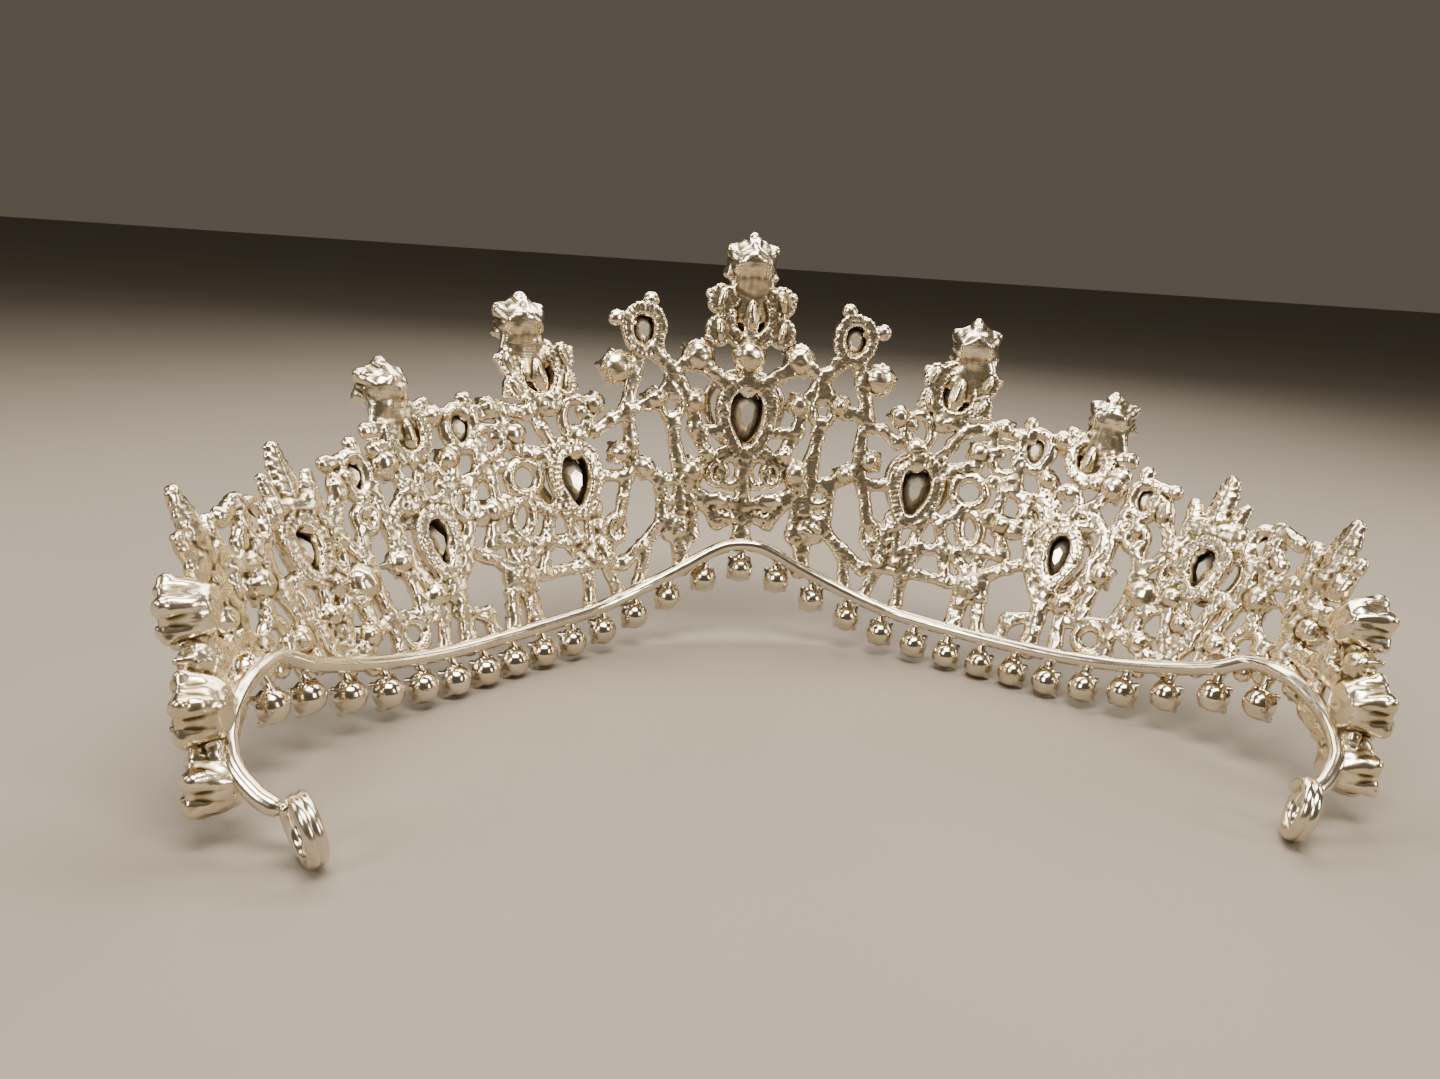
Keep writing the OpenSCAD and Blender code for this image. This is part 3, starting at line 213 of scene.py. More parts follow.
class Soup:
    """Closed shells gathered in one list of corners and faces."""

    def __init__(self):
        self.v, self.f, self.m, self.n = [], [], [], 0

    def add(self, v, f, mat=0):
        self.v.append(np.asarray(v, float))
        self.f += [tuple(int(i) + self.n for i in q) for q in f]
        self.m += [mat] * len(f)
        self.n += len(v)

    def sweep(self, P, A, B, ra, rb, closed=False, sides=10, round_ends=True):
        P, A, B = np.asarray(P, float), np.asarray(A, float), np.asarray(B, float)
        ra, rb = np.broadcast_to(ra, len(P)).astype(float), np.broadcast_to(rb, len(P)).astype(float)
        if not closed and round_ends:
            d0, d1 = unit(P[0] - P[1]), unit(P[-1] - P[-2])
            r0, r1 = ra[0], ra[-1]
            P = np.vstack([P[0] + d0 * r0 * 0.92, P[0] + d0 * r0 * 0.6, P, P[-1] + d1 * r1 * 0.6, P[-1] + d1 * r1 * 0.92])
            A, B = np.vstack([A[:1], A[:1], A, A[-1:], A[-1:]]), np.vstack([B[:1], B[:1], B, B[-1:], B[-1:]])
            ra = np.concatenate([[ra[0] * 0.4, ra[0] * 0.8], ra, [ra[-1] * 0.8, ra[-1] * 0.4]])
            rb = np.concatenate([[rb[0] * 0.4, rb[0] * 0.8], rb, [rb[-1] * 0.8, rb[-1] * 0.4]])
        k = np.arange(sides) * 2 * math.pi / sides
        v = P[:, None, :] + np.cos(k)[None, :, None] * (A * ra[:, None])[:, None, :] + np.sin(k)[None, :, None] * (B * rb[:, None])[:, None, :]
        m = len(P)
        f = []
        for i in range(m if closed else m - 1):
            j = (i + 1) % m
            for q in range(sides):
                w = (q + 1) % sides
                f.append((i * sides + q, i * sides + w, j * sides + w, j * sides + q))
        v = v.reshape(-1, 3)
        if not closed:
            f.append(tuple(range(sides))[::-1])
            f.append(tuple((m - 1) * sides + q for q in range(sides)))
        self.add(v, f)

    def ball(self, c, r, X=(1, 0, 0), Y=(0, 1, 0), Z=(0, 0, 1), rx=None, ry=None, rz=None, nu=10, nv=6):
        X, Y, Z = (np.asarray(q, float) for q in (X, Y, Z))
        rx, ry, rz = rx or r, ry or r, rz or r
        v = [c + Z * rz]
        for i in range(1, nv):
            t = math.pi * i / nv
            for k in range(nu):
                p = 2 * math.pi * k / nu
                v.append(c + Z * rz * math.cos(t) + math.sin(t) * (X * rx * math.cos(p) + Y * ry * math.sin(p)))
        v.append(c - Z * rz)
        f = [(0, 1 + k, 1 + (k + 1) % nu) for k in range(nu)]
        for i in range(nv - 2):
            a = 1 + i * nu
            f += [(a + k, a + nu + k, a + nu + (k + 1) % nu, a + (k + 1) % nu) for k in range(nu)]
        a, e = 1 + (nv - 2) * nu, len(v) - 1
        f += [(a + k, e, a + (k + 1) % nu) for k in range(nu)]
        self.add(v, f)

    def lathe(self, prof, O, T, U, N, sides=20, square=0.0, phase=0.0, sx=1.0, sy=1.0):
        """A profile of (radius, height) turned about N; the first and last points lie on the axis."""
        v, f = [O + N * prof[0][1]], []
        rows = prof[1:-1]
        for r, z in rows:
            for k in range(sides):
                p = 2 * math.pi * k / sides
                q = r * (1 + square * math.cos(4 * p + phase))
                v.append(O + N * z + T * q * sx * math.cos(p) + U * q * sy * math.sin(p))
        v.append(O + N * prof[-1][1])
        e = len(v) - 1
        f += [(0, 1 + (k + 1) % sides, 1 + k) for k in range(sides)]
        for i in range(len(rows) - 1):
            a = 1 + i * sides
            f += [(a + k, a + (k + 1) % sides, a + sides + (k + 1) % sides, a + sides + k) for k in range(sides)]
        a = 1 + (len(rows) - 1) * sides
        f += [(a + k, a + (k + 1) % sides, e) for k in range(sides)]
        self.add(v, f)


def mesh_object(name, v, f, mats, flat=False, mat_index=None, cavity_shade=None):
    me = bpy.data.meshes.new(name)
    me.from_pydata((np.asarray(v) * 0.001).tolist(), [], f)
    me.validate(clean_customdata=False)
    me.update()
    for m in mats:
        me.materials.append(m)
    if mat_index is not None:
        me.polygons.foreach_set("material_index", np.asarray(mat_index, np.int32))
    me.polygons.foreach_set("use_smooth", np.full(len(me.polygons), not flat))
    if cavity_shade is not None:
        at = me.attributes.new("cavity_shade", "FLOAT", "POINT")
        at.data.foreach_set("value", np.asarray(cavity_shade, np.float32))
    o = bpy.data.objects.new(name, me)
    bpy.context.scene.collection.objects.link(o)
    return o


def relax(co, e, lam, times):
    n = len(co)
    deg = np.maximum(np.bincount(e.ravel(), minlength=n), 1)
    for _ in range(times):
        lap = np.empty_like(co)
        for k in range(co.shape[1]):
            lap[:, k] = np.bincount(e[:, 0], weights=co[e[:, 1], k], minlength=n) + np.bincount(e[:, 1], weights=co[e[:, 0], k], minlength=n)
        co = co + lam * (lap / deg[:, None] - co)
    return co


def normals(me, co):
    me.vertices.foreach_set("co", co.astype(np.float32).ravel())
    me.update()
    n = np.empty(len(co) * 3, np.float32)
    me.vertex_normals.foreach_get("vector", n)
    return n.reshape(-1, 3).astype(float)


def fuse(name, soup, mats, voxel=0.2, rounds=3, lumps=0.9, ridges=0.4, seed=1, swell=0.14):
    """Fuses the overlapping shells into one skin, softens it as a casting is, and gives it ridges and lumps."""
    tmp = bpy.data.meshes.new(name + "_tmp")
    tmp.from_pydata(np.vstack(soup.v).tolist(), [], soup.f)
    o = bpy.data.objects.new(name + "_tmp", tmp)
    bpy.context.scene.collection.objects.link(o)
    mod = o.modifiers.new("fuse", "REMESH")
    mod.mode, mod.voxel_size, mod.adaptivity = "VOXEL", voxel, 0
    deps = bpy.context.evaluated_depsgraph_get()
    me = bpy.data.meshes.new_from_object(o.evaluated_get(deps))
    bpy.data.objects.remove(o)
    bpy.data.meshes.remove(tmp)
    n = len(me.vertices)
    co = np.empty(n * 3, np.float32)
    me.vertices.foreach_get("co", co)
    co = co.reshape(-1, 3).astype(float)
    e = np.empty(len(me.edges) * 2, np.int32)
    me.edges.foreach_get("vertices", e)
    e = e.reshape(-1, 2)
    co = relax(co, e, 0.5, rounds)
    nor = normals(me, co)
    co = co + nor * swell
    # painted shade: how deep each point sits in a hollow, stored per point as a mask that darkens the metal colour
    # there
    wide = relax(co, e, 0.5, 14)
    cav = np.sum((wide - co) * nor, 1)
    fine = relax(co, e, 0.5, 3)
    cav = cav * 1.6 + np.sum((fine - co) * nor, 1) * 4
    cav = relax(cav[:, None], e, 0.5, 2)[:, 0]
    cav = np.clip(0.5 + cav / 0.22, 0, 1)
    if ridges or lumps:
        wave = np.sin(2 * math.pi * co[:, 2] / 0.95 + 2.4 * noise(co, 5.5, seed + 7))
        amount = np.clip(0.5 + 0.6 * noise(co, 6, seed + 9), 0.15, 1)
        d = ridges * 0.035 * wave * amount + lumps * (0.06 * noise(co, 2.3, seed) + 0.05 * noise(co, 4.6, seed + 3))
        co = co + nor * d[:, None]
    me.vertices.foreach_set("co", (co * 0.001).astype(np.float32).ravel())
    me.name = name
    for m in mats:
        me.materials.append(m)
    me.polygons.foreach_set("use_smooth", np.ones(len(me.polygons), bool))
    at = me.attributes.new("cavity_shade", "FLOAT", "POINT")
    at.data.foreach_set("value", cav.astype(np.float32))
    me.update()
    piece = bpy.data.objects.new(name, me)
    bpy.context.scene.collection.objects.link(piece)
    return piece


def place(piece, slot, *nodes):
    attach(piece, "root")
    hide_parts(*nodes)
    return piece


# ---------------------------------------------------------------- materials
def nodes_of(mat):
    mat.use_nodes = True
    nt = mat.node_tree
    return nt, nt.nodes, nt.links, nt.nodes["Principled BSDF"]


def ramp(nd, stops):
    r = nd.new("ShaderNodeValToRGB")
    while len(r.color_ramp.elements) < len(stops):
        r.color_ramp.elements.new(0.5)
    for el, (p, c) in zip(r.color_ramp.elements, stops):
        el.position, el.color = p, (c[0], c[1], c[2], 1)
    return r


def span(nd, lk, src, a, b, c, d):
    m = nd.new("ShaderNodeMapRange")
    m.inputs["From Min"].default_value, m.inputs["From Max"].default_value = a, b
    m.inputs["To Min"].default_value, m.inputs["To Max"].default_value = c, d
    lk.new(src, m.inputs["Value"])
    return m.outputs["Result"]


def metal(name, bright, mid, dark, rough=(0.16, 0.34), ridge=0.35, ridge_mm=0.42, pits=0.25, cavity_shade=True):
    """Silver plate over a casting: ridged, faintly pitted, with painted shade darkening the hollows, which are also
    duller.
    """
    mat = bpy.data.materials.new(name)
    nt, nd, lk, bs = nodes_of(mat)
    bs.inputs["Metallic"].default_value = 1.0
    co = nd.new("ShaderNodeTexCoord").outputs["Object"]
    blot = nd.new("ShaderNodeTexNoise")
    blot.inputs["Scale"].default_value, blot.inputs["Detail"].default_value = 420, 5
    lk.new(co, blot.inputs["Vector"])
    big = nd.new("ShaderNodeTexNoise")
    big.inputs["Scale"].default_value, big.inputs["Detail"].default_value = 110, 3
    lk.new(co, big.inputs["Vector"])
    add = nd.new("ShaderNodeMath")
    add.operation = "MULTIPLY_ADD"
    add.inputs[1].default_value, add.inputs[2].default_value = 0.35, 0.0
    lk.new(blot.outputs["Fac"], add.inputs[0])
    mixv = nd.new("ShaderNodeMath")
    mixv.operation = "MULTIPLY_ADD"
    mixv.inputs[1].default_value = 0.45
    lk.new(big.outputs["Fac"], mixv.inputs[0])
    lk.new(add.outputs[0], mixv.inputs[2])
    tone = mixv.outputs[0]
    # painted shade: the hollow mask pushes the colour towards the dark stop and the roughness up
    if cavity_shade:
        at = nd.new("ShaderNodeAttribute")
        at.attribute_name = "cavity_shade"
        cav = span(nd, lk, at.outputs["Fac"], 0.35, 0.9, 0.0, 0.75)
        sub = nd.new("ShaderNodeMath")
        sub.operation = "ADD"
        lk.new(tone, sub.inputs[0])
        lk.new(cav, sub.inputs[1])
        tone = sub.outputs[0]
    cr = ramp(nd, [(0.25, bright), (0.5, mid), (1.0, dark)])
    lk.new(tone, cr.inputs["Fac"])
    lk.new(cr.outputs["Color"], bs.inputs["Base Color"])
    lk.new(span(nd, lk, tone, 0.25, 1.0, rough[0], rough[1]), bs.inputs["Roughness"])
    # horizontal casting ridges, broken by noise
    warp = nd.new("ShaderNodeTexNoise")
    warp.inputs["Scale"].default_value, warp.inputs["Detail"].default_value = 260, 2
    lk.new(co, warp.inputs["Vector"])
    sep = nd.new("ShaderNodeSeparateXYZ")
    lk.new(co, sep.inputs[0])
    zz = nd.new("ShaderNodeMath")
    zz.operation = "MULTIPLY_ADD"
    zz.inputs[1].default_value = 2 * math.pi / (ridge_mm * 0.001)
    ww = nd.new("ShaderNodeMath")
    ww.operation = "MULTIPLY"
    ww.inputs[1].default_value = 7.0
    lk.new(warp.outputs["Fac"], ww.inputs[0])
    lk.new(sep.outputs["Z"], zz.inputs[0])
    lk.new(ww.outputs[0], zz.inputs[2])
    sn = nd.new("ShaderNodeMath")
    sn.operation = "SINE"
    lk.new(zz.outputs[0], sn.inputs[0])
    patch = nd.new("ShaderNodeTexNoise")
    patch.inputs["Scale"].default_value = 190
    lk.new(co, patch.inputs["Vector"])
    pm = nd.new("ShaderNodeMath")
    pm.operation = "MULTIPLY"
    lk.new(sn.outputs[0], pm.inputs[0])
    lk.new(span(nd, lk, patch.outputs["Fac"], 0.35, 0.65, 0.25, 1.0), pm.inputs[1])
    grain = nd.new("ShaderNodeTexNoise")
    grain.inputs["Scale"].default_value, grain.inputs["Detail"].default_value = 1500, 4
    lk.new(co, grain.inputs["Vector"])
    b1 = nd.new("ShaderNodeBump")
    b1.inputs["Strength"].default_value, b1.inputs["Distance"].default_value = ridge, 0.00006
    lk.new(pm.outputs[0], b1.inputs["Height"])
    b2 = nd.new("ShaderNodeBump")
    b2.inputs["Strength"].default_value, b2.inputs["Distance"].default_value = pits, 0.00012
    lk.new(grain.outputs["Fac"], b2.inputs["Height"])
    lk.new(b1.outputs["Normal"], b2.inputs["Normal"])
    lk.new(b2.outputs["Normal"], bs.inputs["Normal"])
    return mat


def wire_metal(name, bright, mid, rough=(0.1, 0.2)):
    mat = bpy.data.materials.new(name)
    nt, nd, lk, bs = nodes_of(mat)
    bs.inputs["Metallic"].default_value = 1.0
    co = nd.new("ShaderNodeTexCoord").outputs["Object"]
    n1 = nd.new("ShaderNodeTexNoise")
    n1.inputs["Scale"].default_value, n1.inputs["Detail"].default_value = 160, 6
    lk.new(co, n1.inputs["Vector"])
    cr = ramp(nd, [(0.35, bright), (0.75, mid)])
    lk.new(n1.outputs["Fac"], cr.inputs["Fac"])
    lk.new(cr.outputs["Color"], bs.inputs["Base Color"])
    lk.new(span(nd, lk, n1.outputs["Fac"], 0.3, 0.7, rough[0], rough[1]), bs.inputs["Roughness"])
    n2 = nd.new("ShaderNodeTexNoise")
    n2.inputs["Scale"].default_value, n2.inputs["Detail"].default_value = 900, 3
    lk.new(co, n2.inputs["Vector"])
    b = nd.new("ShaderNodeBump")
    b.inputs["Strength"].default_value, b.inputs["Distance"].default_value = 0.12, 0.0001
    lk.new(n2.outputs["Fac"], b.inputs["Height"])
    lk.new(b.outputs["Normal"], bs.inputs["Normal"])
    return mat


def foil(name):
    """Silvered back of a stone, brushed thin in places."""
    mat = bpy.data.materials.new(name)
    nt, nd, lk, bs = nodes_of(mat)
    bs.inputs["Metallic"].default_value = 0.7
    co = nd.new("ShaderNodeTexCoord").outputs["Object"]
    n1 = nd.new("ShaderNodeTexNoise")
    n1.inputs["Scale"].default_value, n1.inputs["Detail"].default_value = 500, 6
    lk.new(co, n1.inputs["Vector"])
    cr = ramp(nd, [(0.3, (0.84, 0.80, 0.72)), (0.7, (0.66, 0.61, 0.53))])
    lk.new(n1.outputs["Fac"], cr.inputs["Fac"])
    lk.new(cr.outputs["Color"], bs.inputs["Base Color"])
    lk.new(span(nd, lk, n1.outputs["Fac"], 0.3, 0.7, 0.16, 0.32), bs.inputs["Roughness"])
    b = nd.new("ShaderNodeBump")
    b.inputs["Strength"].default_value, b.inputs["Distance"].default_value = 0.18, 0.0001
    lk.new(n1.outputs["Fac"], b.inputs["Height"])
    lk.new(b.outputs["Normal"], bs.inputs["Normal"])
    return mat


def glass(name, tint=(0.97, 0.98, 1.0)):
    mat = bpy.data.materials.new(name)
    nt, nd, lk, bs = nodes_of(mat)
    bs.inputs["Base Color"].default_value = (*tint, 1)
    bs.inputs["IOR"].default_value = 1.57
    bs.inputs["Transmission Weight"].default_value = 1.0
    co = nd.new("ShaderNodeTexCoord").outputs["Object"]
    n1 = nd.new("ShaderNodeTexNoise")
    n1.inputs["Scale"].default_value, n1.inputs["Detail"].default_value = 700, 5
    lk.new(co, n1.inputs["Vector"])
    lk.new(span(nd, lk, n1.outputs["Fac"], 0.45, 0.8, 0.0, 0.06), bs.inputs["Roughness"])
    return mat


# the third colour of each metal is the painted shade colour, reached mainly in the hollows through the mask
M_CAST = metal("cast_silver", (0.90, 0.815, 0.675), (0.69, 0.60, 0.45), (0.15, 0.115, 0.06), rough=(0.18, 0.42), ridge=0.05)
M_HALO = metal("halo_silver", (0.80, 0.74, 0.63), (0.60, 0.54, 0.44), (0.22, 0.18, 0.12), rough=(0.22, 0.42), ridge=0.05)
M_CUP = metal("cup_silver", (0.84, 0.78, 0.67), (0.66, 0.59, 0.47), (0.22, 0.18, 0.11), rough=(0.12, 0.26), ridge=0.08, pits=0.1)
M_WIRE = wire_metal("wire_silver", (0.82, 0.76, 0.65), (0.66, 0.59, 0.48), rough=(0.14, 0.26))
M_FOIL = foil("stone_foil")
M_GLASS = glass("crystal")


# ---------------------------------------------------------------- casting parts
def egg_curve(rx, ry, tilt, tip, n):
    t = -2 * math.pi * np.arange(n) / n
    x, y = rx * np.sin(t) * (1 + tip * np.cos(t)), ry * np.cos(t)
    c, d = math.cos(math.radians(tilt)), math.sin(math.radians(tilt))
    return np.stack([x * c + y * d, y * c - x * d], 1)


def add_bar(sp, row, rng, beads=True):
    s1, h1, s2, h2, w = row
    a, b = wall(s1, h1), wall(s2, h2)
    length = float(np.linalg.norm(b - a))
    n = max(4, int(length / 0.7) + 1)
    t = np.linspace(0, 1, n)
    bend = rng.uniform(-0.05, 0.05) * length
    s, h = s1 + (s2 - s1) * t, h1 + (h2 - h1) * t
    q, T, U, N = seat(s, h)
    D = unit(np.gradient(q, axis=0))
    B = unit(np.cross(N, D))
    q = q + B * (bend * np.sin(math.pi * t))[:, None]
    w += 0.6
    ra = (w / 2 * 1.14) * (0.94 + 0.3 * np.abs(2 * t - 1) ** 2.2 + rng.uniform(-0.08, 0.08, n))
    rb = np.clip(0.75 + 0.2 * (w - 1.6), 0.72, 1.0) * (0.95 + 0.2 * np.abs(2 * t - 1) ** 2 + rng.uniform(-0.07, 0.07, n))
    sp.sweep(q, B, N, ra, rb, sides=10)
    if beads and length > 1.6:
        m = int(length / 0.62)
        for face in (-1, 1):
            for edge in (-1, 1):
                for k in range(0, m + 1):
                    if rng.random() < (0.72 if face < 0 else 0.5):
                        f = min(max((k + 0.25 * edge) / m, 0), 1)
                        i = min(int(f * (n - 1)), n - 2)
                        g = f * (n - 1) - i
                        p = q[i] * (1 - g) + q[i + 1] * g
                        c = p + B[i] * edge * ra[i] * rng.uniform(0.5, 0.8) + N[i] * face * rb[i] * rng.uniform(0.5, 0.75)
                        sp.ball(c, rng.uniform(0.26, 0.38), T[i], U[i], N[i], nu=8, nv=5)


def add_ring(sp, row, rng):
    s, h, rx, ry, w, tilt, tip = row
    rx, ry, w = rx + 0.3, ry + 0.3, w + 0.3
    O, T, U, N = seat(s, h)
    size = 2 * math.pi * math.sqrt((rx * rx + ry * ry) / 2)
    n = max(24, int(size / 0.35))
    c = egg_curve(rx - w / 2, ry - w / 2, tilt, tip, n)
    P = O + c[:, :1] * T + c[:, 1:] * U
    D = unit(np.roll(P, -1, 0) - np.roll(P, 1, 0))
    A = np.cross(D, N)
    k = np.arange(n)
    if w >= 1.55:
        step = max(10, int(size / 0.85))
        rb = 0.95 + 0.1 * np.sin(k * 2 * math.pi * step / n)
        ra = w / 2 * (1.2 + 0.05 * np.sin(k * 2 * math.pi * step / n + 1.5))
        sp.sweep(P, A, np.broadcast_to(N, P.shape), ra, rb, closed=True, sides=12)
        for off, br, z in ((w / 2 - 0.1, 0.36, -0.72), (-(w / 2 - 0.3), 0.33, -0.74), (w / 2 - 0.1, 0.34, 0.7)):
            cc = egg_curve(rx - w / 2 + off, ry - w / 2 + off, tilt, tip, 240)
            add_beads(sp, O, T, U, N, cc, br, z, rng)
    else:
        sp.sweep(P, A, np.broadcast_to(N, P.shape), w / 2 * 1.25 + 0.1, 0.8, closed=True, sides=10)
        cc = egg_curve(rx - w / 2, ry - w / 2, tilt, tip, 240)
        add_beads(sp, O, T, U, N, cc, 0.34, -0.6, rng)
        add_beads(sp, O, T, U, N, cc, 0.34, 0.6, rng)


def add_beads(sp, O, T, U, N, curve, r, z, rng, gap=2.25, drop=0.08):
    seg = np.linalg.norm(np.roll(curve, -1, 0) - curve, axis=1)
    total = seg.sum()
    m = max(6, int(total / (r * gap)))
    at = np.concatenate([[0], np.cumsum(seg)])[:-1]
    for k in range(m):
        if rng.random() < drop:
            continue
        i = int(np.searchsorted(at, total * k / m)) % len(curve)
        sp.ball(O + T * curve[i, 0] + U * curve[i, 1] + N * z, r * rng.uniform(0.9, 1.15), T, U, N, nu=8, nv=5)


def add_egg(sp, row, rng):
    s, h, rx, ry, tilt, tip = row
    O, T, U, N = seat(s, h)
    c = egg_curve(1, 1, tilt, tip, 16)
    prof = [(0, -1.15), (0.55, -1.05), (0.85, -0.75), (1.0, -0.2), (1.0, 0.35), (0.8, 0.8), (0, 0.9)]
    sp.lathe(prof, O, T, U, N, sides=16, square=0.04, phase=rng.uniform(0, 6), sx=rx, sy=ry)
    for k in range(int(5 * rx * ry)):
        a, f = rng.uniform(0, 6.28), math.sqrt(rng.uniform(0.02, 1))
        z = -1.1 + 0.75 * f * f
        sp.ball(O + T * rx * 0.92 * f * math.cos(a) + U * ry * 0.92 * f * math.sin(a) + N * z, rng.uniform(0.26, 0.42), T, U, N, nu=8, nv=5)


def add_claws(sp, O, T, U, N, r, z0, z1, count, size, phase, rng, lean=0.08):
    for k in range(count):
        a = phase + 2 * math.pi * k / count + rng.uniform(-0.08, 0.08)
        d = T * math.cos(a) + U * math.sin(a)
        e = -T * math.sin(a) + U * math.cos(a)
        P = np.array([O + d * r * 0.9 + N * z0, O + d * r * 1.03 + N * (z0 * 0.5 + z1 * 0.5), O + d * (r * 1.03) + N * (z1 - size * 0.4), O + d * (r * (1 - lean)) + N * z1])
        sp.sweep(P, np.broadcast_to(d, P.shape), np.broadcast_to(e, P.shape), np.array([0.9, 0.85, 0.75, 0.65]) * size, np.array([1.0, 0.95, 0.85, 0.7]) * size, sides=8)
        sp.ball(O + d * (r * 1.05) + N * (z1 - 0.1), size * 1.12, T, U, N, nu=10, nv=6)


def add_cup(sp, row, rng):
    s, h, r = row
    r += CUP_EXTRA
    O, T, U, N = seat(s, h)
    zt = 0.8 + 0.3 * r
    prof = [(0, -1.45), (0.4 * r, -1.34), (0.76 * r, -0.85), (0.97 * r, 0.0), (1.02 * r, zt), (0.84 * r, zt), (0.8 * r, 0.5), (0.4 * r, 0.2), (0, 0.2)]
    sp.lathe(prof, O, T, U, N, sides=18, square=0.03, phase=rng.uniform(0, 6))
    cc = egg_curve(r * 0.95, r * 0.95, 0, 0, 120)
    if r > 1.55:
        add_beads(sp, O, T, U, N, cc, 0.26, -0.15, rng, gap=2.5, drop=0.25)
    add_claws(sp, O, T, U, N, r, zt - 1.1, zt + 0.42, 5 if r > 1.9 else 4, 0.36 + 0.03 * r, rng.uniform(0, 6), rng)


CUP_EXTRA = 0.3


def add_crest(sp, row, rng):
    s, h, r = row
    O, T, U, N = crest_seat(s, h)
    prof = [(0, -2.6), (0.35 * r, -2.55), (0.66 * r, -2.2), (0.86 * r, -1.4), (0.96 * r, -0.4), (1.0 * r, 1.0), (1.05 * r, 2.2), (1.0 * r, 2.6), (0.8 * r, 2.6), (0.78 * r, 1.4), (0.5 * r, 0.4), (0, 0.4)]
    sp.lathe(prof, O, T, U, N, sides=28, square=0.0, phase=0.4)
    for k in range(6):
        a = math.pi / 6 + k * math.pi / 3
        d = T * math.cos(a) + U * math.sin(a)
        e = -T * math.sin(a) + U * math.cos(a)
        q = np.array([O + d * r * 0.72 - N * 1.9, O + d * r * 0.97 + N * 0.1, O + d * r * 1.0 + N * 1.6, O + d * r * 0.98 + N * 2.4, O + d * r * 0.86 + N * 2.9])
        sp.sweep(q, np.broadcast_to(d, q.shape), np.broadcast_to(e, q.shape), np.array([0.3, 0.5, 0.75, 0.9, 0.7]), np.array([0.6, 0.8, 1.1, 1.2, 0.9]), sides=10)
        sp.ball(O + d * r * 1.1 + N * 2.1, 0.8, T, U, N)
    if abs(s) < 90:
        # throat joining the cup to its neck
        P, T, U, N = seat(s, h)
        top = 0.62 * r
        q = np.array([P - U * 5.2, P - U * 3.6, P - U * 2.0, P - U * 0.4])
        sp.sweep(q, np.broadcast_to(T, q.shape), np.broadcast_to(N, q.shape), np.array([1.12, 1.0, 0.94, 0.92]) * r, np.array([1.0, 1.4, 1.9, 2.2]), sides=20)


def add_sleeve(sp, row, rng):
    """Setting wall round a drop or oval stone, with small claws at its mouth."""
    s, h, rx, ry, tilt, tip, back, front = row[:8]
    O, T, U, N = seat(s, h)
    zg = 0.2 * back + 0.8 * front
    n = 40
    outer, inner = egg_curve(rx + 0.55, ry + 0.55, tilt, tip, n), egg_curve(rx + 0.06, ry + 0.06, tilt, tip, n)
    rows = [(outer, 0.2), (outer, zg - 0.1), (inner, zg), (inner, 0.35)]
    v, f = [], []
    for c, z in rows:
        v += [O + T * p[0] + U * p[1] + N * z for p in c]
    for i in range(4):
        j = (i + 1) % 4
        f += [(i * n + k, i * n + (k + 1) % n, j * n + (k + 1) % n, j * n + k) for k in range(n)]
    sp.add(v, f)
    add_beads(sp, O, T, U, N, egg_curve(rx + 0.45, ry + 0.45, tilt, tip, 200), 0.28, zg - 0.15, rng, gap=2.4)
    rim = egg_curve(rx + 0.2, ry + 0.2, tilt, tip, 6)
    for p in rim:
        c = O + T * p[0] + U * p[1] + N * (zg + 0.12)
        sp.ball(c, 0.42, T, U, N, nu=10, nv=6)


def add_back(sp, row, rng):
    """Rounded metal back across an oval opening, with a slit left open at each side."""
    s, h, rx, ry, tilt = row[:5]
    O, T, U, N = seat(s, h)
    c, d = math.cos(math.radians(tilt)), math.sin(math.radians(tilt))
    X, Y = T * c - U * d, U * c + T * d
    sp.ball(O - N * 0.1, 1.0, X, Y, N, rx=rx * 0.62, ry=ry * 1.06, rz=1.15, nu=18, nv=10)
    sp.ball(O - N * 0.75, 1.0, X, Y, N, rx=rx * 0.3, ry=ry * 0.8, rz=0.85, nu=12, nv=8)


BACKED = {(0, 54.2), (32.6, 43.8), (53.4, 35.8)}


def add_petal(sp, row, rng):
    """Blunt petal beside an oval setting, its outer edge beaded and ending in a ball claw."""
    s, h, rx, ry, tilt = row
    O, T, U, N = seat(s, h)
    c, d = math.cos(math.radians(tilt)), math.sin(math.radians(tilt))
    X, Y = T * c - U * d, U * c + T * d
    prof = [(0, -1.0), (0.6, -0.95), (0.9, -0.7), (1.03, -0.2), (1.03, 0.35), (0.85, 0.85), (0, 1.0)]
    sp.lathe(prof, O, X, Y, N, sides=20, square=0.0, sx=rx, sy=ry)
    for k in range(13):
        a = 2 * math.pi * k / 13
        sp.ball(O + X * rx * 0.9 * math.cos(a) + Y * ry * 0.9 * math.sin(a) - N * 0.72, rng.uniform(0.28, 0.36), T, U, N, nu=8, nv=5)
    q = np.array([O - Y * ry * 0.55 - N * 0.95, O - N * 1.12, O + Y * ry * 0.55 - N * 0.95])
    sp.sweep(q, np.broadcast_to(X, q.shape), np.broadcast_to(N, q.shape), np.array([0.2, 0.42, 0.2]), 0.3, sides=8)


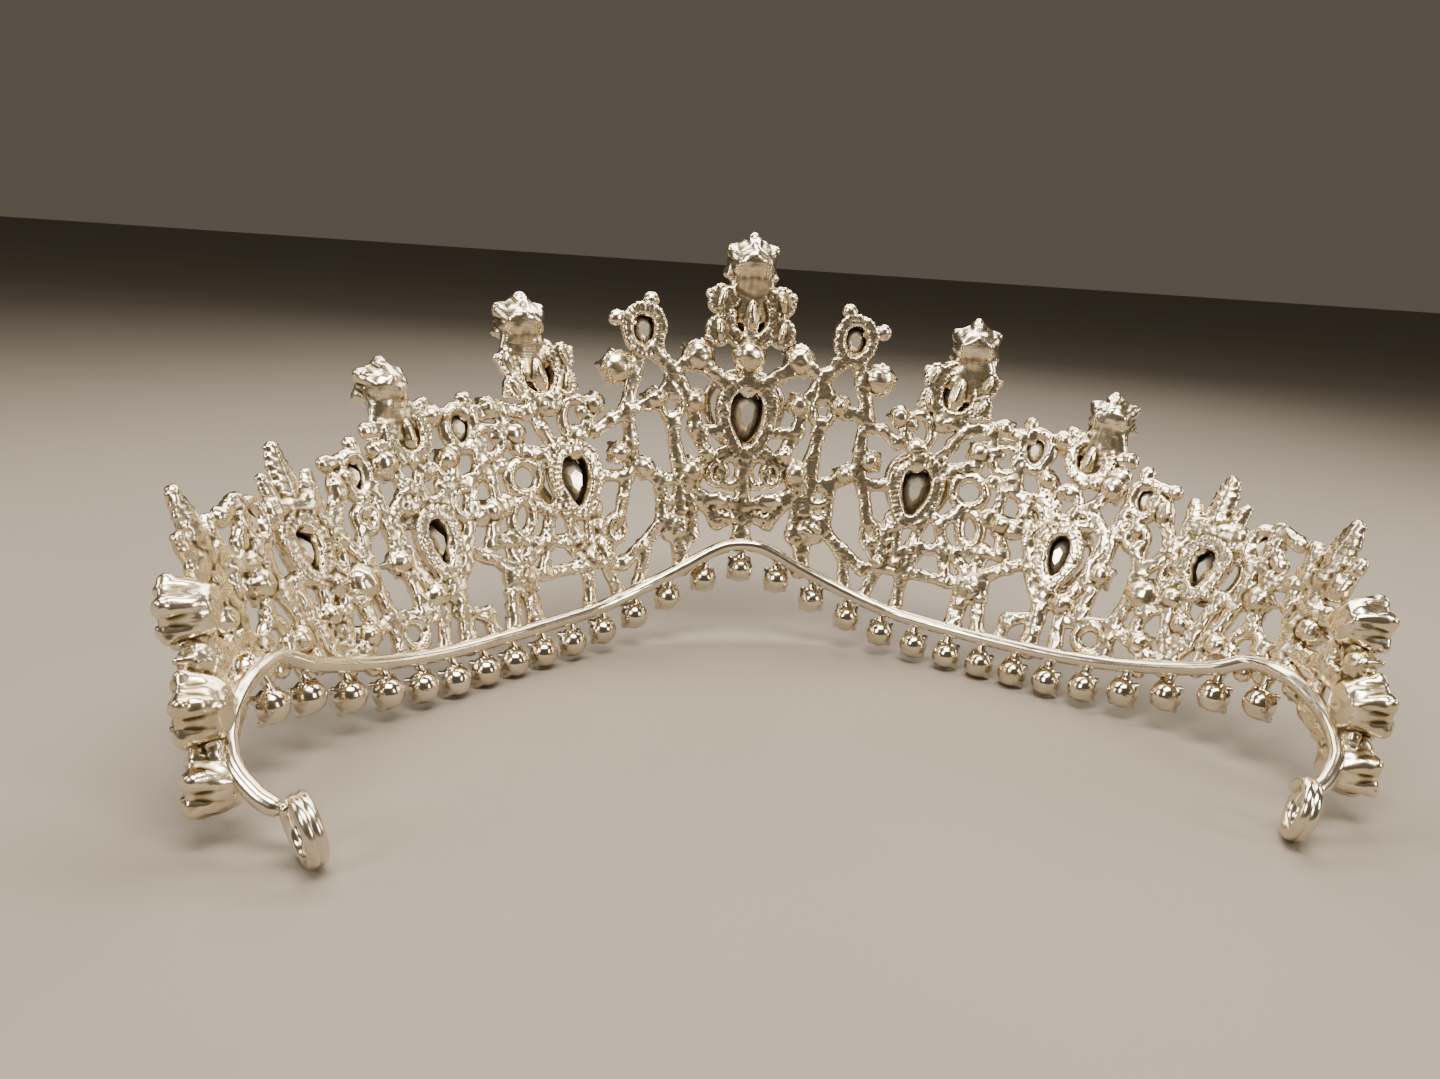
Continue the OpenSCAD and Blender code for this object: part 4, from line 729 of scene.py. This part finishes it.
def add_leaf(sp, row, rng):
    """Pointed leaf with a raised rib, standing on the wall."""
    s1, h1, s2, h2, w = row
    a, b = wall(s1, h1), wall(s2, h2)
    _, T, U, N = seat((s1 + s2) / 2, (h1 + h2) / 2)
    D = unit(b - a)
    B = np.cross(N, D)
    n = 16
    t = np.linspace(0, 1, n)
    half = w / 2 * np.interp(t, [0, 0.15, 0.35, 0.65, 0.88, 0.96, 1.0], [0.7, 0.95, 1.05, 0.9, 0.62, 0.45, 0.25])
    P = a + D * (t * np.linalg.norm(b - a))[:, None] + N * 0.2
    deep = 0.5 + 0.42 * half
    v, f = [], []
    for i in range(n):
        ring = [(1, 0.0), (0.62, 0.42), (0.16, 0.8), (0, 1.0), (-0.16, 0.8), (-0.62, 0.42), (-1, 0.0), (-0.6, -0.55), (0, -0.8), (0.6, -0.55)]
        v += [P[i] + B * x * half[i] + N * z * deep[i] for x, z in ring]
    m = 10
    for i in range(n - 1):
        f += [(i * m + k, i * m + (k + 1) % m, (i + 1) * m + (k + 1) % m, (i + 1) * m + k) for k in range(m)]
    f += [tuple(range(m))[::-1], tuple((n - 1) * m + k for k in range(m))]
    sp.add(v, f)
    for side in (1, -1):
        for k in range(2, n - 1, 2):
            sp.ball(P[k] + B * side * half[k] * 0.92, 0.27, T, U, N, nu=8, nv=5)
            p0, p1 = P[k - 1] + B * side * half[k] * 0.15, P[k] + B * side * half[k] * 0.85
            for z in (-1, 1):
                q = np.array([p0 + N * z * deep[k] * 0.75, p1 + N * z * deep[k] * 0.35])
                sp.sweep(q, np.broadcast_to(D, q.shape), np.broadcast_to(N, q.shape), 0.17, 0.17, sides=6)


def loose_ends(g):
    """Bar ends that touch nothing else: these are prong tips and carry a ball."""
    out = []
    solid = [(r[0], r[1], max(r[2], r[3])) for r in g["rings"]] + [(r[0], r[1], max(r[2], r[3])) for r in g["eggs"]]
    solid += [(r[0], r[1], r[2]) for r in g["cups"] + g["crests"]]
    for i, b in enumerate(g["bars"]):
        e = np.array([b[2], b[3]])
        free = all(math.hypot(e[0] - s, e[1] - h) > r + 0.5 for s, h, r in solid)
        for j, c in enumerate(g["bars"]):
            if i == j or not free:
                continue
            p, q = np.array(c[:2]), np.array(c[2:4])
            t = np.clip(np.dot(e - p, q - p) / max(np.dot(q - p, q - p), 1e-6), 0, 1)
            free = np.linalg.norm(e - p - t * (q - p)) > c[4] / 2 + 0.5
        out.append(free and np.linalg.norm(np.array(b[2:4]) - np.array(b[:2])) < 3.4 and b[3] > 16)
    return out


def casting(name, side, seed):
    g = layout(name, side)
    rng = np.random.default_rng(seed)
    sp = Soup()
    for row, tip in zip(g["bars"], loose_ends(g)):
        add_bar(sp, row, rng, beads=not tip)
        if tip:
            O, T, U, N = seat(row[2], row[3])
            sp.ball(O, 0.72, T, U, N)
    for row in g["rings"]:
        add_ring(sp, row, rng)
    for row in g["eggs"]:
        add_egg(sp, row, rng)
    for row in g["cups"]:
        add_cup(sp, row, rng)
    for row in g["crests"]:
        add_crest(sp, row, rng)
    for row in g["drops"]:
        add_sleeve(sp, row, rng)
        if (abs(row[0]), row[1]) in BACKED:
            add_back(sp, row, rng)
    for row in g["leaves"]:
        add_leaf(sp, row, rng)
    for row in g["petals"]:
        add_petal(sp, row, rng)
        O, T, U, N = seat(row[0] * 1.0, row[1])
        mid = {"centre": (0, 54.2), "second": (32.6 * side, 43.8)}[name]
        out = np.array([row[0] - mid[0], row[1] - mid[1]])
        out /= np.linalg.norm(out)
        q, T, U, N = seat(row[0] + out[0] * row[2] * 0.9, row[1] + out[1] * row[3] * 0.9)
        sp.ball(q - N * 0.1, 0.62, T, U, N)
    if name == "centre":
        O, T, U, N = seat(0, 47.6)
        sp.ball(O - N * 0.5, 2.5, T, U, N, rz=1.9, nu=18, nv=10)
        for k in range(4):
            a = math.radians(45 + 90 * k)
            sp.ball(O + (T * math.cos(a) + U * math.sin(a)) * 2.6 - N * 0.2, 0.55, T, U, N)
        for x, z, rx, ry in ((4.8, 23.8, 3.0, 1.25), (2.6, 20.8, 1.9, 1.0), (6.6, 31.6, 1.3, 1.3), (9.4, 27.2, 1.8, 2.2)):
            for side in (1, -1):
                O, T, U, N = seat(side * x, z)
                sp.ball(O - N * 0.2, 1.0, T, U, N, rx=rx, ry=ry, rz=1.0, nu=14, nv=8)
                for j in range(7):
                    a = 2 * math.pi * j / 7
                    sp.ball(O + T * rx * 0.85 * math.cos(a) + U * ry * 0.85 * math.sin(a) - N * 0.7, 0.36, T, U, N, nu=8, nv=5)
    node = name + "_casting" + ("" if name == "centre" else "_left" if side > 0 else "_right")
    o = fuse(node + "_cast", sp, [M_CAST], voxel=VOXEL, seed=seed)
    place(o, "cast_openwork", node)
    return g


# ---------------------------------------------------------------- stones
def facet_stone(sp, O, T, U, N, outline, back, girdle, front, table=0.6, culet=0.42):
    """Crown of glass over a silvered back. outline(k, n, scale) gives plan points."""
    n = 12
    G = outline(n, 1.0, 0)
    tb = outline(n // 2, table, 0.5)
    md = outline(n, (1 + table) / 2 + 0.06, 0.0)
    bk = outline(n // 2, culet, 0.5)

    def up(c, z):
        return [O + T * p[0] + U * p[1] + N * z for p in c]

    zt, zg1, zg0 = front, girdle, girdle - 0.28
    v = up(tb, zt) + up(md, zg1 + (zt - zg1) * 0.52) + up(G, zg1) + up(G, zg0) + up(bk, back)
    h = n // 2
    a, b, c, d, e = 0, h, h + n, h + 2 * n, h + 3 * n
    f, m = [tuple(range(h))], [0]
    for k in range(h):
        # table corner k lies between outline corners 2k and 2k+1 and 2k+2
        p, q, r = 2 * k, (2 * k + 1) % n, (2 * k + 2) % n
        f += [(a + k, b + q, a + (k + 1) % h), (a + k, b + p, b + q), (a + (k + 1) % h, b + q, b + r)]
        m += [0, 0, 0]
    for k in range(n):
        w = (k + 1) % n
        f += [(b + k, c + k, c + w, b + w), (c + k, d + k, d + w, c + w)]
        m += [0, 0]
    for k in range(h):
        p, q, r = 2 * k, (2 * k + 1) % n, (2 * k + 2) % n
        f += [(e + k, e + (k + 1) % h, d + q), (e + k, d + q, d + p), (e + (k + 1) % h, d + r, d + q)]
        m += [1, 1, 1]
    f += [tuple(e + k for k in range(h))[::-1]]
    m += [1]
    base = sp.n
    sp.v.append(np.asarray(v))
    sp.f += [tuple(i + base for i in q) for q in f]
    sp.m += m
    sp.n += len(v)


def egg_outline(rx, ry, tilt, tip):
    def f(n, scale, shift):
        t = -2 * math.pi * (np.arange(n) + 0.0) / n
        x, y = rx * scale * np.sin(t) * (1 + tip * np.cos(t)), ry * scale * np.cos(t)
        c, d = math.cos(math.radians(tilt)), math.sin(math.radians(tilt))
        return np.stack([x * c + y * d, y * c - x * d], 1)

    return f


def stone_piece(name, sp, slot, node):
    o = mesh_object(name, np.vstack(sp.v), sp.f, [M_GLASS, M_FOIL], flat=True, mat_index=sp.m)
    import bmesh

    bm = bmesh.new()
    bm.from_mesh(o.data)
    bmesh.ops.recalc_face_normals(bm, faces=bm.faces)
    bm.to_mesh(o.data)
    bm.free()
    place(o, slot, node)


def round_stone(sp, row):
    s, h, r = row
    r += CUP_EXTRA
    O, T, U, N = seat(s, h)
    g = r * 0.78 - 0.06
    facet_stone(sp, O, T, U, N, egg_outline(g, g, 0, 0), 0.34, 0.98 + 0.3 * r, 1.0 + 0.62 * r, table=0.58, culet=0.4)


def crest_stone(sp, row):
    s, h, r = row
    O, T, U, N = crest_seat(s, h)
    g = r * 0.84 - 0.07
    facet_stone(sp, O, T, U, N, egg_outline(g, g, 0, 0), 0.5, 2.3, 3.3, table=0.6, culet=0.3)


def drop_stone(sp, row):
    s, h, rx, ry, tilt, tip, back, front = row[:8]
    O, T, U, N = seat(s, h)
    facet_stone(sp, O, T, U, N, egg_outline(rx, ry, tilt, tip), back, 0.2 * back + 0.8 * front - 0.2, front)


def stones(name, side, g):
    tag = "" if name == "centre" else "_left" if side > 0 else "_right"
    want = {}

    def soup(node):
        return want.setdefault(node, Soup())

    small = name + ("_side_stones" if name == "centre" else "_stones" + tag)
    for row in g["cups"]:
        round_stone(soup(small), row)
    for row in g["crests"]:
        node = small if name == "end" else name + "_crest_stone" + tag
        crest_stone(soup(node), row)
    for row in g["drops"]:
        node = row[8] + tag
        drop_stone(soup(node), row)
    for node, sp in want.items():
        stone_piece(node + "_cut", sp, "crystal", node)


# ---------------------------------------------------------------- halos
HALOS = {"centre": [0, 38.6, 7, 7, 1.2, 0, 0.15], "second": [28.8, 28.2, 5.6, 6.2, 1.1, 6, 0.2],
         "third": [54, 21, 4.6, 5.3, 1, 4, 0.2], "fourth": [75.6, 23.4, 4.2, 5, 1, 4, 0.2]}
HALO_STEP, HALO_T = 2.6, 1.2


def halo(name, side, seed):
    s, h, rx, ry, w, tilt, tip = HALOS[name]
    s, tilt = s * side, tilt * side
    rng = np.random.default_rng(seed)
    O, T, U, N = seat(s, h)
    sp = Soup()
    n = 72
    c = egg_curve(rx - w / 2, ry - w / 2, tilt, tip, n)
    P = O + c[:, :1] * T + c[:, 1:] * U + N * (HALO_STEP + HALO_T / 2)
    D = unit(np.roll(P, -1, 0) - np.roll(P, 1, 0))
    sp.sweep(P, np.cross(D, N), np.broadcast_to(N, P.shape), w / 2 * 1.25, 0.5, closed=True, sides=10)
    cc = egg_curve(rx - w / 2, ry - w / 2, tilt, tip, 300)
    add_beads(sp, O, T, U, N, cc, 0.36, HALO_STEP + HALO_T - 0.32, rng, gap=2.1, drop=0.03)
    add_beads(sp, O, T, U, N, cc, 0.3, HALO_STEP + 0.3, rng, gap=2.4, drop=0.15)
    pts = egg_curve(rx - w / 2 - 0.9, ry - w / 2 - 0.9, tilt, tip, 8)
    top = egg_curve(rx - w / 2, ry - w / 2, tilt, tip, 8)
    for k in range(4):
        a, b = pts[1 + 2 * k], top[1 + 2 * k]
        q = np.array([O + T * a[0] + U * a[1] + N * 0.5, O + T * a[0] + U * a[1] + N * 1.7, O + T * (0.5 * a[0] + 0.5 * b[0]) + U * (0.5 * a[1] + 0.5 * b[1]) + N * (HALO_STEP + 0.1), O + T * b[0] + U * b[1] + N * (HALO_STEP + 0.5)])
        sp.sweep(q, np.broadcast_to(T, q.shape), np.broadcast_to(U, q.shape), 0.5, 0.5, sides=8)
    node = name + "_halo" + ("" if name == "centre" else "_left" if side > 0 else "_right")
    o = fuse(node + "_cast", sp, [M_HALO], voxel=VOXEL, seed=seed, ridges=0.4, lumps=0.5)
    place(o, "cast_halo", node)


# ---------------------------------------------------------------- base wire, eyelets, hem row
PEAK_H, WIRE_INSET, WIRE_D = 16.7, 1.8, 2.0
WIRE_RUN = [[0, 16.7], [3, 16.4], [6, 15.3], [10, 13.4], [15, 11.4], [20, 9.7], [25, 8.4], [30, 7.5], [40, 6.8], [50, 6.6], [60, 6.8], [70, 7.8], [80, 10], [86, 12]]
ARM_RUN = [[64.2, 15.2, 14], [65.8, 20.7, 14.2], [66.7, 25.2, 12.8], [66.7, 29.2, 10.8], [65.4, 32.7, 8.6], [62.8, 35, 6.6], [60.8, 36, 5.6]]
EYE_AT, EYE_R, EYE_WALL, EYE_W = np.array([57.2, 38.4, 4.25]), 2.5, 1.6, 3.2
HEM_PITCH, HEM_COUNT, HEM_D, HEM_DROP = 6.6, 14, 4.0, 4.5


def glide(points, per):
    p = np.vstack([2 * points[0] - points[1], points, 2 * points[-1] - points[-2]])
    out = []
    for i in range(1, len(p) - 2):
        for k in range(per):
            t = k / per
            a, b, c, d = p[i - 1], p[i], p[i + 1], p[i + 2]
            out.append(0.5 * ((2 * b) + (c - a) * t + (2 * a - 5 * b + 4 * c - d) * t * t + (3 * b - a - 3 * c + d) * t**3))
    return np.array(out + [points[-1]])


def frames_along(P, up=(0, 0, 1)):
    D = unit(np.gradient(P, axis=0))
    V = np.asarray(up, float) - D * (D @ np.asarray(up, float))[:, None]
    V = unit(V)
    return D, V, np.cross(D, V)


def wire_h(s):
    run = WIRE_RUN + [[94, 13.6]]
    return np.interp(abs(s), [q[0] for q in run], [q[1] for q in run])


def base_wire():
    half = [wall(q[0], q[1], -WIRE_INSET - max(0, (q[0] - 70) * 0.05)) for q in WIRE_RUN] + [np.array(q, float) for q in ARM_RUN]
    half = np.array(half)
    full = np.vstack([half[:0:-1] * np.array([-1, 1, 1]), half])
    P = glide(full, 10)
    D, V, W = frames_along(P)
    arc = np.concatenate([[0], np.cumsum(np.linalg.norm(np.diff(P, axis=0), axis=1))])
    r = WIRE_D / 2 * 1.06 * (1 + 0.012 * np.sin(arc * 0.9) + 0.01 * np.sin(arc * 2.3 + 1))
    sp = Soup()
    sp.sweep(P, V, W, r, r, sides=24)
    o = mesh_object("base_wire_drawn", np.vstack(sp.v), sp.f, [M_WIRE])
    place(o, "plated_wire", "base_wire")


def eyelet(side):
    c, d = math.cos(math.radians(28)), math.sin(math.radians(28))
    cy, sy = math.cos(math.radians(12)), math.sin(math.radians(12))
    rz = np.array([[c, -d, 0], [d, c, 0], [0, 0, 1]])
    ry = np.array([[cy, 0, sy], [0, 1, 0], [-sy, 0, cy]])
    q = np.array([[0, 0, 1], [0, 1, 0], [-1, 0, 0]], float)  # quarter turn about Y
    m = rz @ ry @ q
    X, Y, Z = m[:, 0], m[:, 1], m[:, 2]
    rw = EYE_WALL / 2 - 0.02
    rc = EYE_R + EYE_WALL / 2
    end = np.array([60.8, 36, 5.6]) - EYE_AT
    a0 = math.atan2(end @ Y, end @ X)
    turns, n = 2.0, 96
    best = None
    for way in (1, -1):
        t = np.linspace(0, 1, n)
        ang = a0 + way * (2 * math.pi * turns * t)
        P = EYE_AT + rc * (np.cos(ang)[:, None] * X + np.sin(ang)[:, None] * Y) + Z * ((0.5 - t) * (EYE_W - EYE_WALL))[:, None]
        lead = unit(np.array([60.8, 36, 5.6]) - np.array([62.8, 35, 6.6]))
        go = unit(P[1] - P[0])
        if best is None or lead @ go > best[0]:
            best = (lead @ go, P)
    P = best[1]
    if side < 0:
        P = P * np.array([-1, 1, 1])
        Z = Z * np.array([-1, 1, 1])
    D = unit(np.gradient(P, axis=0))
    A = unit(Z - D * (D @ Z)[:, None])
    sp = Soup()
    sp.sweep(P, A, np.cross(D, A), rw, rw, sides=20)
    tag = "left" if side > 0 else "right"
    o = mesh_object(f"end_eyelet_{tag}_coil", np.vstack(sp.v), sp.f, [M_WIRE])
    place(o, "plated_wire", f"end_eyelet_{tag}")


def hem_row():
    sp, st = Soup(), Soup()
    R = HEM_D / 2 * 1.04
    rng = np.random.default_rng(31)
    for k in range(-HEM_COUNT, HEM_COUNT + 1):
        s = k * HEM_PITCH
        O, T, U, N = seat(s, wire_h(s) - HEM_DROP)
        O = O - N * 0.6
        prof = [(0, -0.86 * R), (0.3 * R, -0.82 * R), (0.58 * R, -0.68 * R), (0.8 * R, -0.48 * R), (0.96 * R, -0.22 * R), (1.02 * R, 0.1), (1.04 * R, 0.6), (1.05 * R, 1.0), (0.8 * R, 1.04), (0.76 * R, 0.6), (0.72 * R, 0.2), (0.5 * R, 0.0), (0, 0.0)]
        sp.lathe(prof, O, T, U, N, sides=24)
        q = np.array([O + U * (R - 0.7) - N * 0.1, O + U * (R - 0.1) - N * 0.1, O + U * (R + 0.7), O + U * (HEM_DROP - WIRE_D / 2 + 0.35) + N * 0.15])
        sp.sweep(q, np.broadcast_to(T, q.shape), np.broadcast_to(N, q.shape), np.array([0.95, 0.72, 0.62, 0.9]), np.array([0.75, 0.6, 0.55, 0.7]), sides=12)
        for a in (math.radians(62), math.radians(118)):
            d = T * math.cos(a) + U * math.sin(a)
            sp.ball(O + d * R * 0.98 - N * 0.25, 0.4, T, U, N)
        add_claws(sp, O, T, U, N, R, 0.1, 1.35, 4, 0.42, math.pi / 4, rng)
        g = R * 0.76 - 0.07
        facet_stone(st, O, T, U, N, egg_outline(g, g, 0, 0), -0.08, 0.9, 1.6, table=0.58, culet=0.45)
    o = fuse("hem_cups_cast", sp, [M_CUP], voxel=VOXEL * 0.85, rounds=2, ridges=0.1, lumps=0.2, seed=71, swell=0.12)
    place(o, "claw_cups", "hem_cups")
    stone_piece("hem_stones_cut", st, "foiled_crystal", "hem_stones")


# ---------------------------------------------------------------- build
VOXEL = 0.2
SIDES = {"centre": (1,)}
seed = 100
for name in ("centre", "inner", "second", "cluster", "third", "bridge", "fourth", "temple", "end"):
    for side in SIDES.get(name, (1, -1)):
        seed += 11
        stones(name, side, casting(name, side, seed))
        if name in HALOS:
            halo(name, side, seed + 5)
base_wire()
eyelet(1)
eyelet(-1)
hem_row()

# ---------------------------------------------------------------- floor, light, camera
def floor():
    mat = bpy.data.materials.new("pale_floor")
    nt, nd, lk, bs = nodes_of(mat)
    co = nd.new("ShaderNodeTexCoord").outputs["Object"]
    n1 = nd.new("ShaderNodeTexNoise")
    n1.inputs["Scale"].default_value, n1.inputs["Detail"].default_value = 6, 6
    lk.new(co, n1.inputs["Vector"])
    cr = ramp(nd, [(0.3, (0.30, 0.268, 0.232)), (0.7, (0.275, 0.246, 0.212))])
    lk.new(n1.outputs["Fac"], cr.inputs["Fac"])
    lk.new(cr.outputs["Color"], bs.inputs["Base Color"])
    bs.inputs["Roughness"].default_value = 0.85
    v = [(x * 1000, y * 1000, -0.02) for x, y in ((-4, -4), (4, -4), (4, 4), (-4, 4))]
    f = [(0, 1, 2, 3)]
    o = mesh_object("pale_floor", v, f, [mat])


floor()


def area(name, loc, target, size, power, color):
    li = bpy.data.lights.new(name, "AREA")
    li.shape, li.size, li.size_y = "RECTANGLE", size[0], size[1]
    li.energy, li.color = power, color
    o = bpy.data.objects.new(name, li)
    o.visible_camera = False
    o.location = loc
    o.rotation_euler = (Vector(target) - Vector(loc)).to_track_quat("-Z", "Y").to_euler()
    bpy.context.scene.collection.objects.link(o)
    return o


C = (0.0, 0.0, 0.03)
area("top", (0.0, 0.15, 0.45), C, (0.30, 0.16), 2.0, (1.0, 0.94, 0.84))
area("camera_left", (0.45, 0.4, 0.4), C, (0.14, 0.26), 1.8, (1.0, 0.94, 0.84))
area("camera_right", (-0.45, 0.42, 0.3), C, (0.10, 0.26), 1.35, (1.0, 0.92, 0.80))
area("front_rim", (0.0, -0.105, 0.27), (0.0, -0.03, 0.05), (0.42, 0.08), 0.75, (1.0, 0.94, 0.85))
area("front_soft", (-0.12, -0.42, 0.34), C, (0.30, 0.20), 1.0, (1.0, 0.95, 0.88))
area("side_left", (0.34, -0.02, 0.16), (0.0, -0.03, 0.04), (0.10, 0.16), 0.18, (1.0, 0.95, 0.88))
area("side_right", (-0.34, -0.02, 0.16), (0.0, -0.03, 0.04), (0.10, 0.16), 0.18, (1.0, 0.93, 0.84))

world = bpy.data.worlds.new("studio")
bpy.context.scene.world = world
world.use_nodes = True
bg = world.node_tree.nodes["Background"]
bg.inputs["Color"].default_value = (0.50, 0.435, 0.35, 1)
bg.inputs["Strength"].default_value = 0.23

bpy.context.scene.view_settings.look = "AgX - Medium High Contrast"

cam = bpy.data.cameras.new("view")
cam.sensor_fit, cam.sensor_width, cam.lens = "HORIZONTAL", 36.0, 27.25
cam.clip_start, cam.clip_end = 0.005, 20
fwd = np.array([-0.1696, -0.9509, -0.2588])
fwd /= np.linalg.norm(fwd)
right0 = unit(np.cross(fwd, [0, 0, 1]))
up0 = np.cross(right0, fwd)
rho = math.radians(4.01975)
r2 = math.cos(rho) * right0 + math.sin(rho) * up0
u2 = -math.sin(rho) * right0 + math.cos(rho) * up0
m = Matrix.Identity(4)
for i in range(3):
    m[i][0], m[i][1], m[i][2] = float(r2[i]), float(u2[i]), float(-fwd[i])
m[0][3], m[1][3], m[2][3] = 0.03494, 0.14367, 0.0649
eye = bpy.data.objects.new("view", cam)
eye.matrix_world = m
bpy.context.scene.collection.objects.link(eye)
bpy.context.scene.camera = eye

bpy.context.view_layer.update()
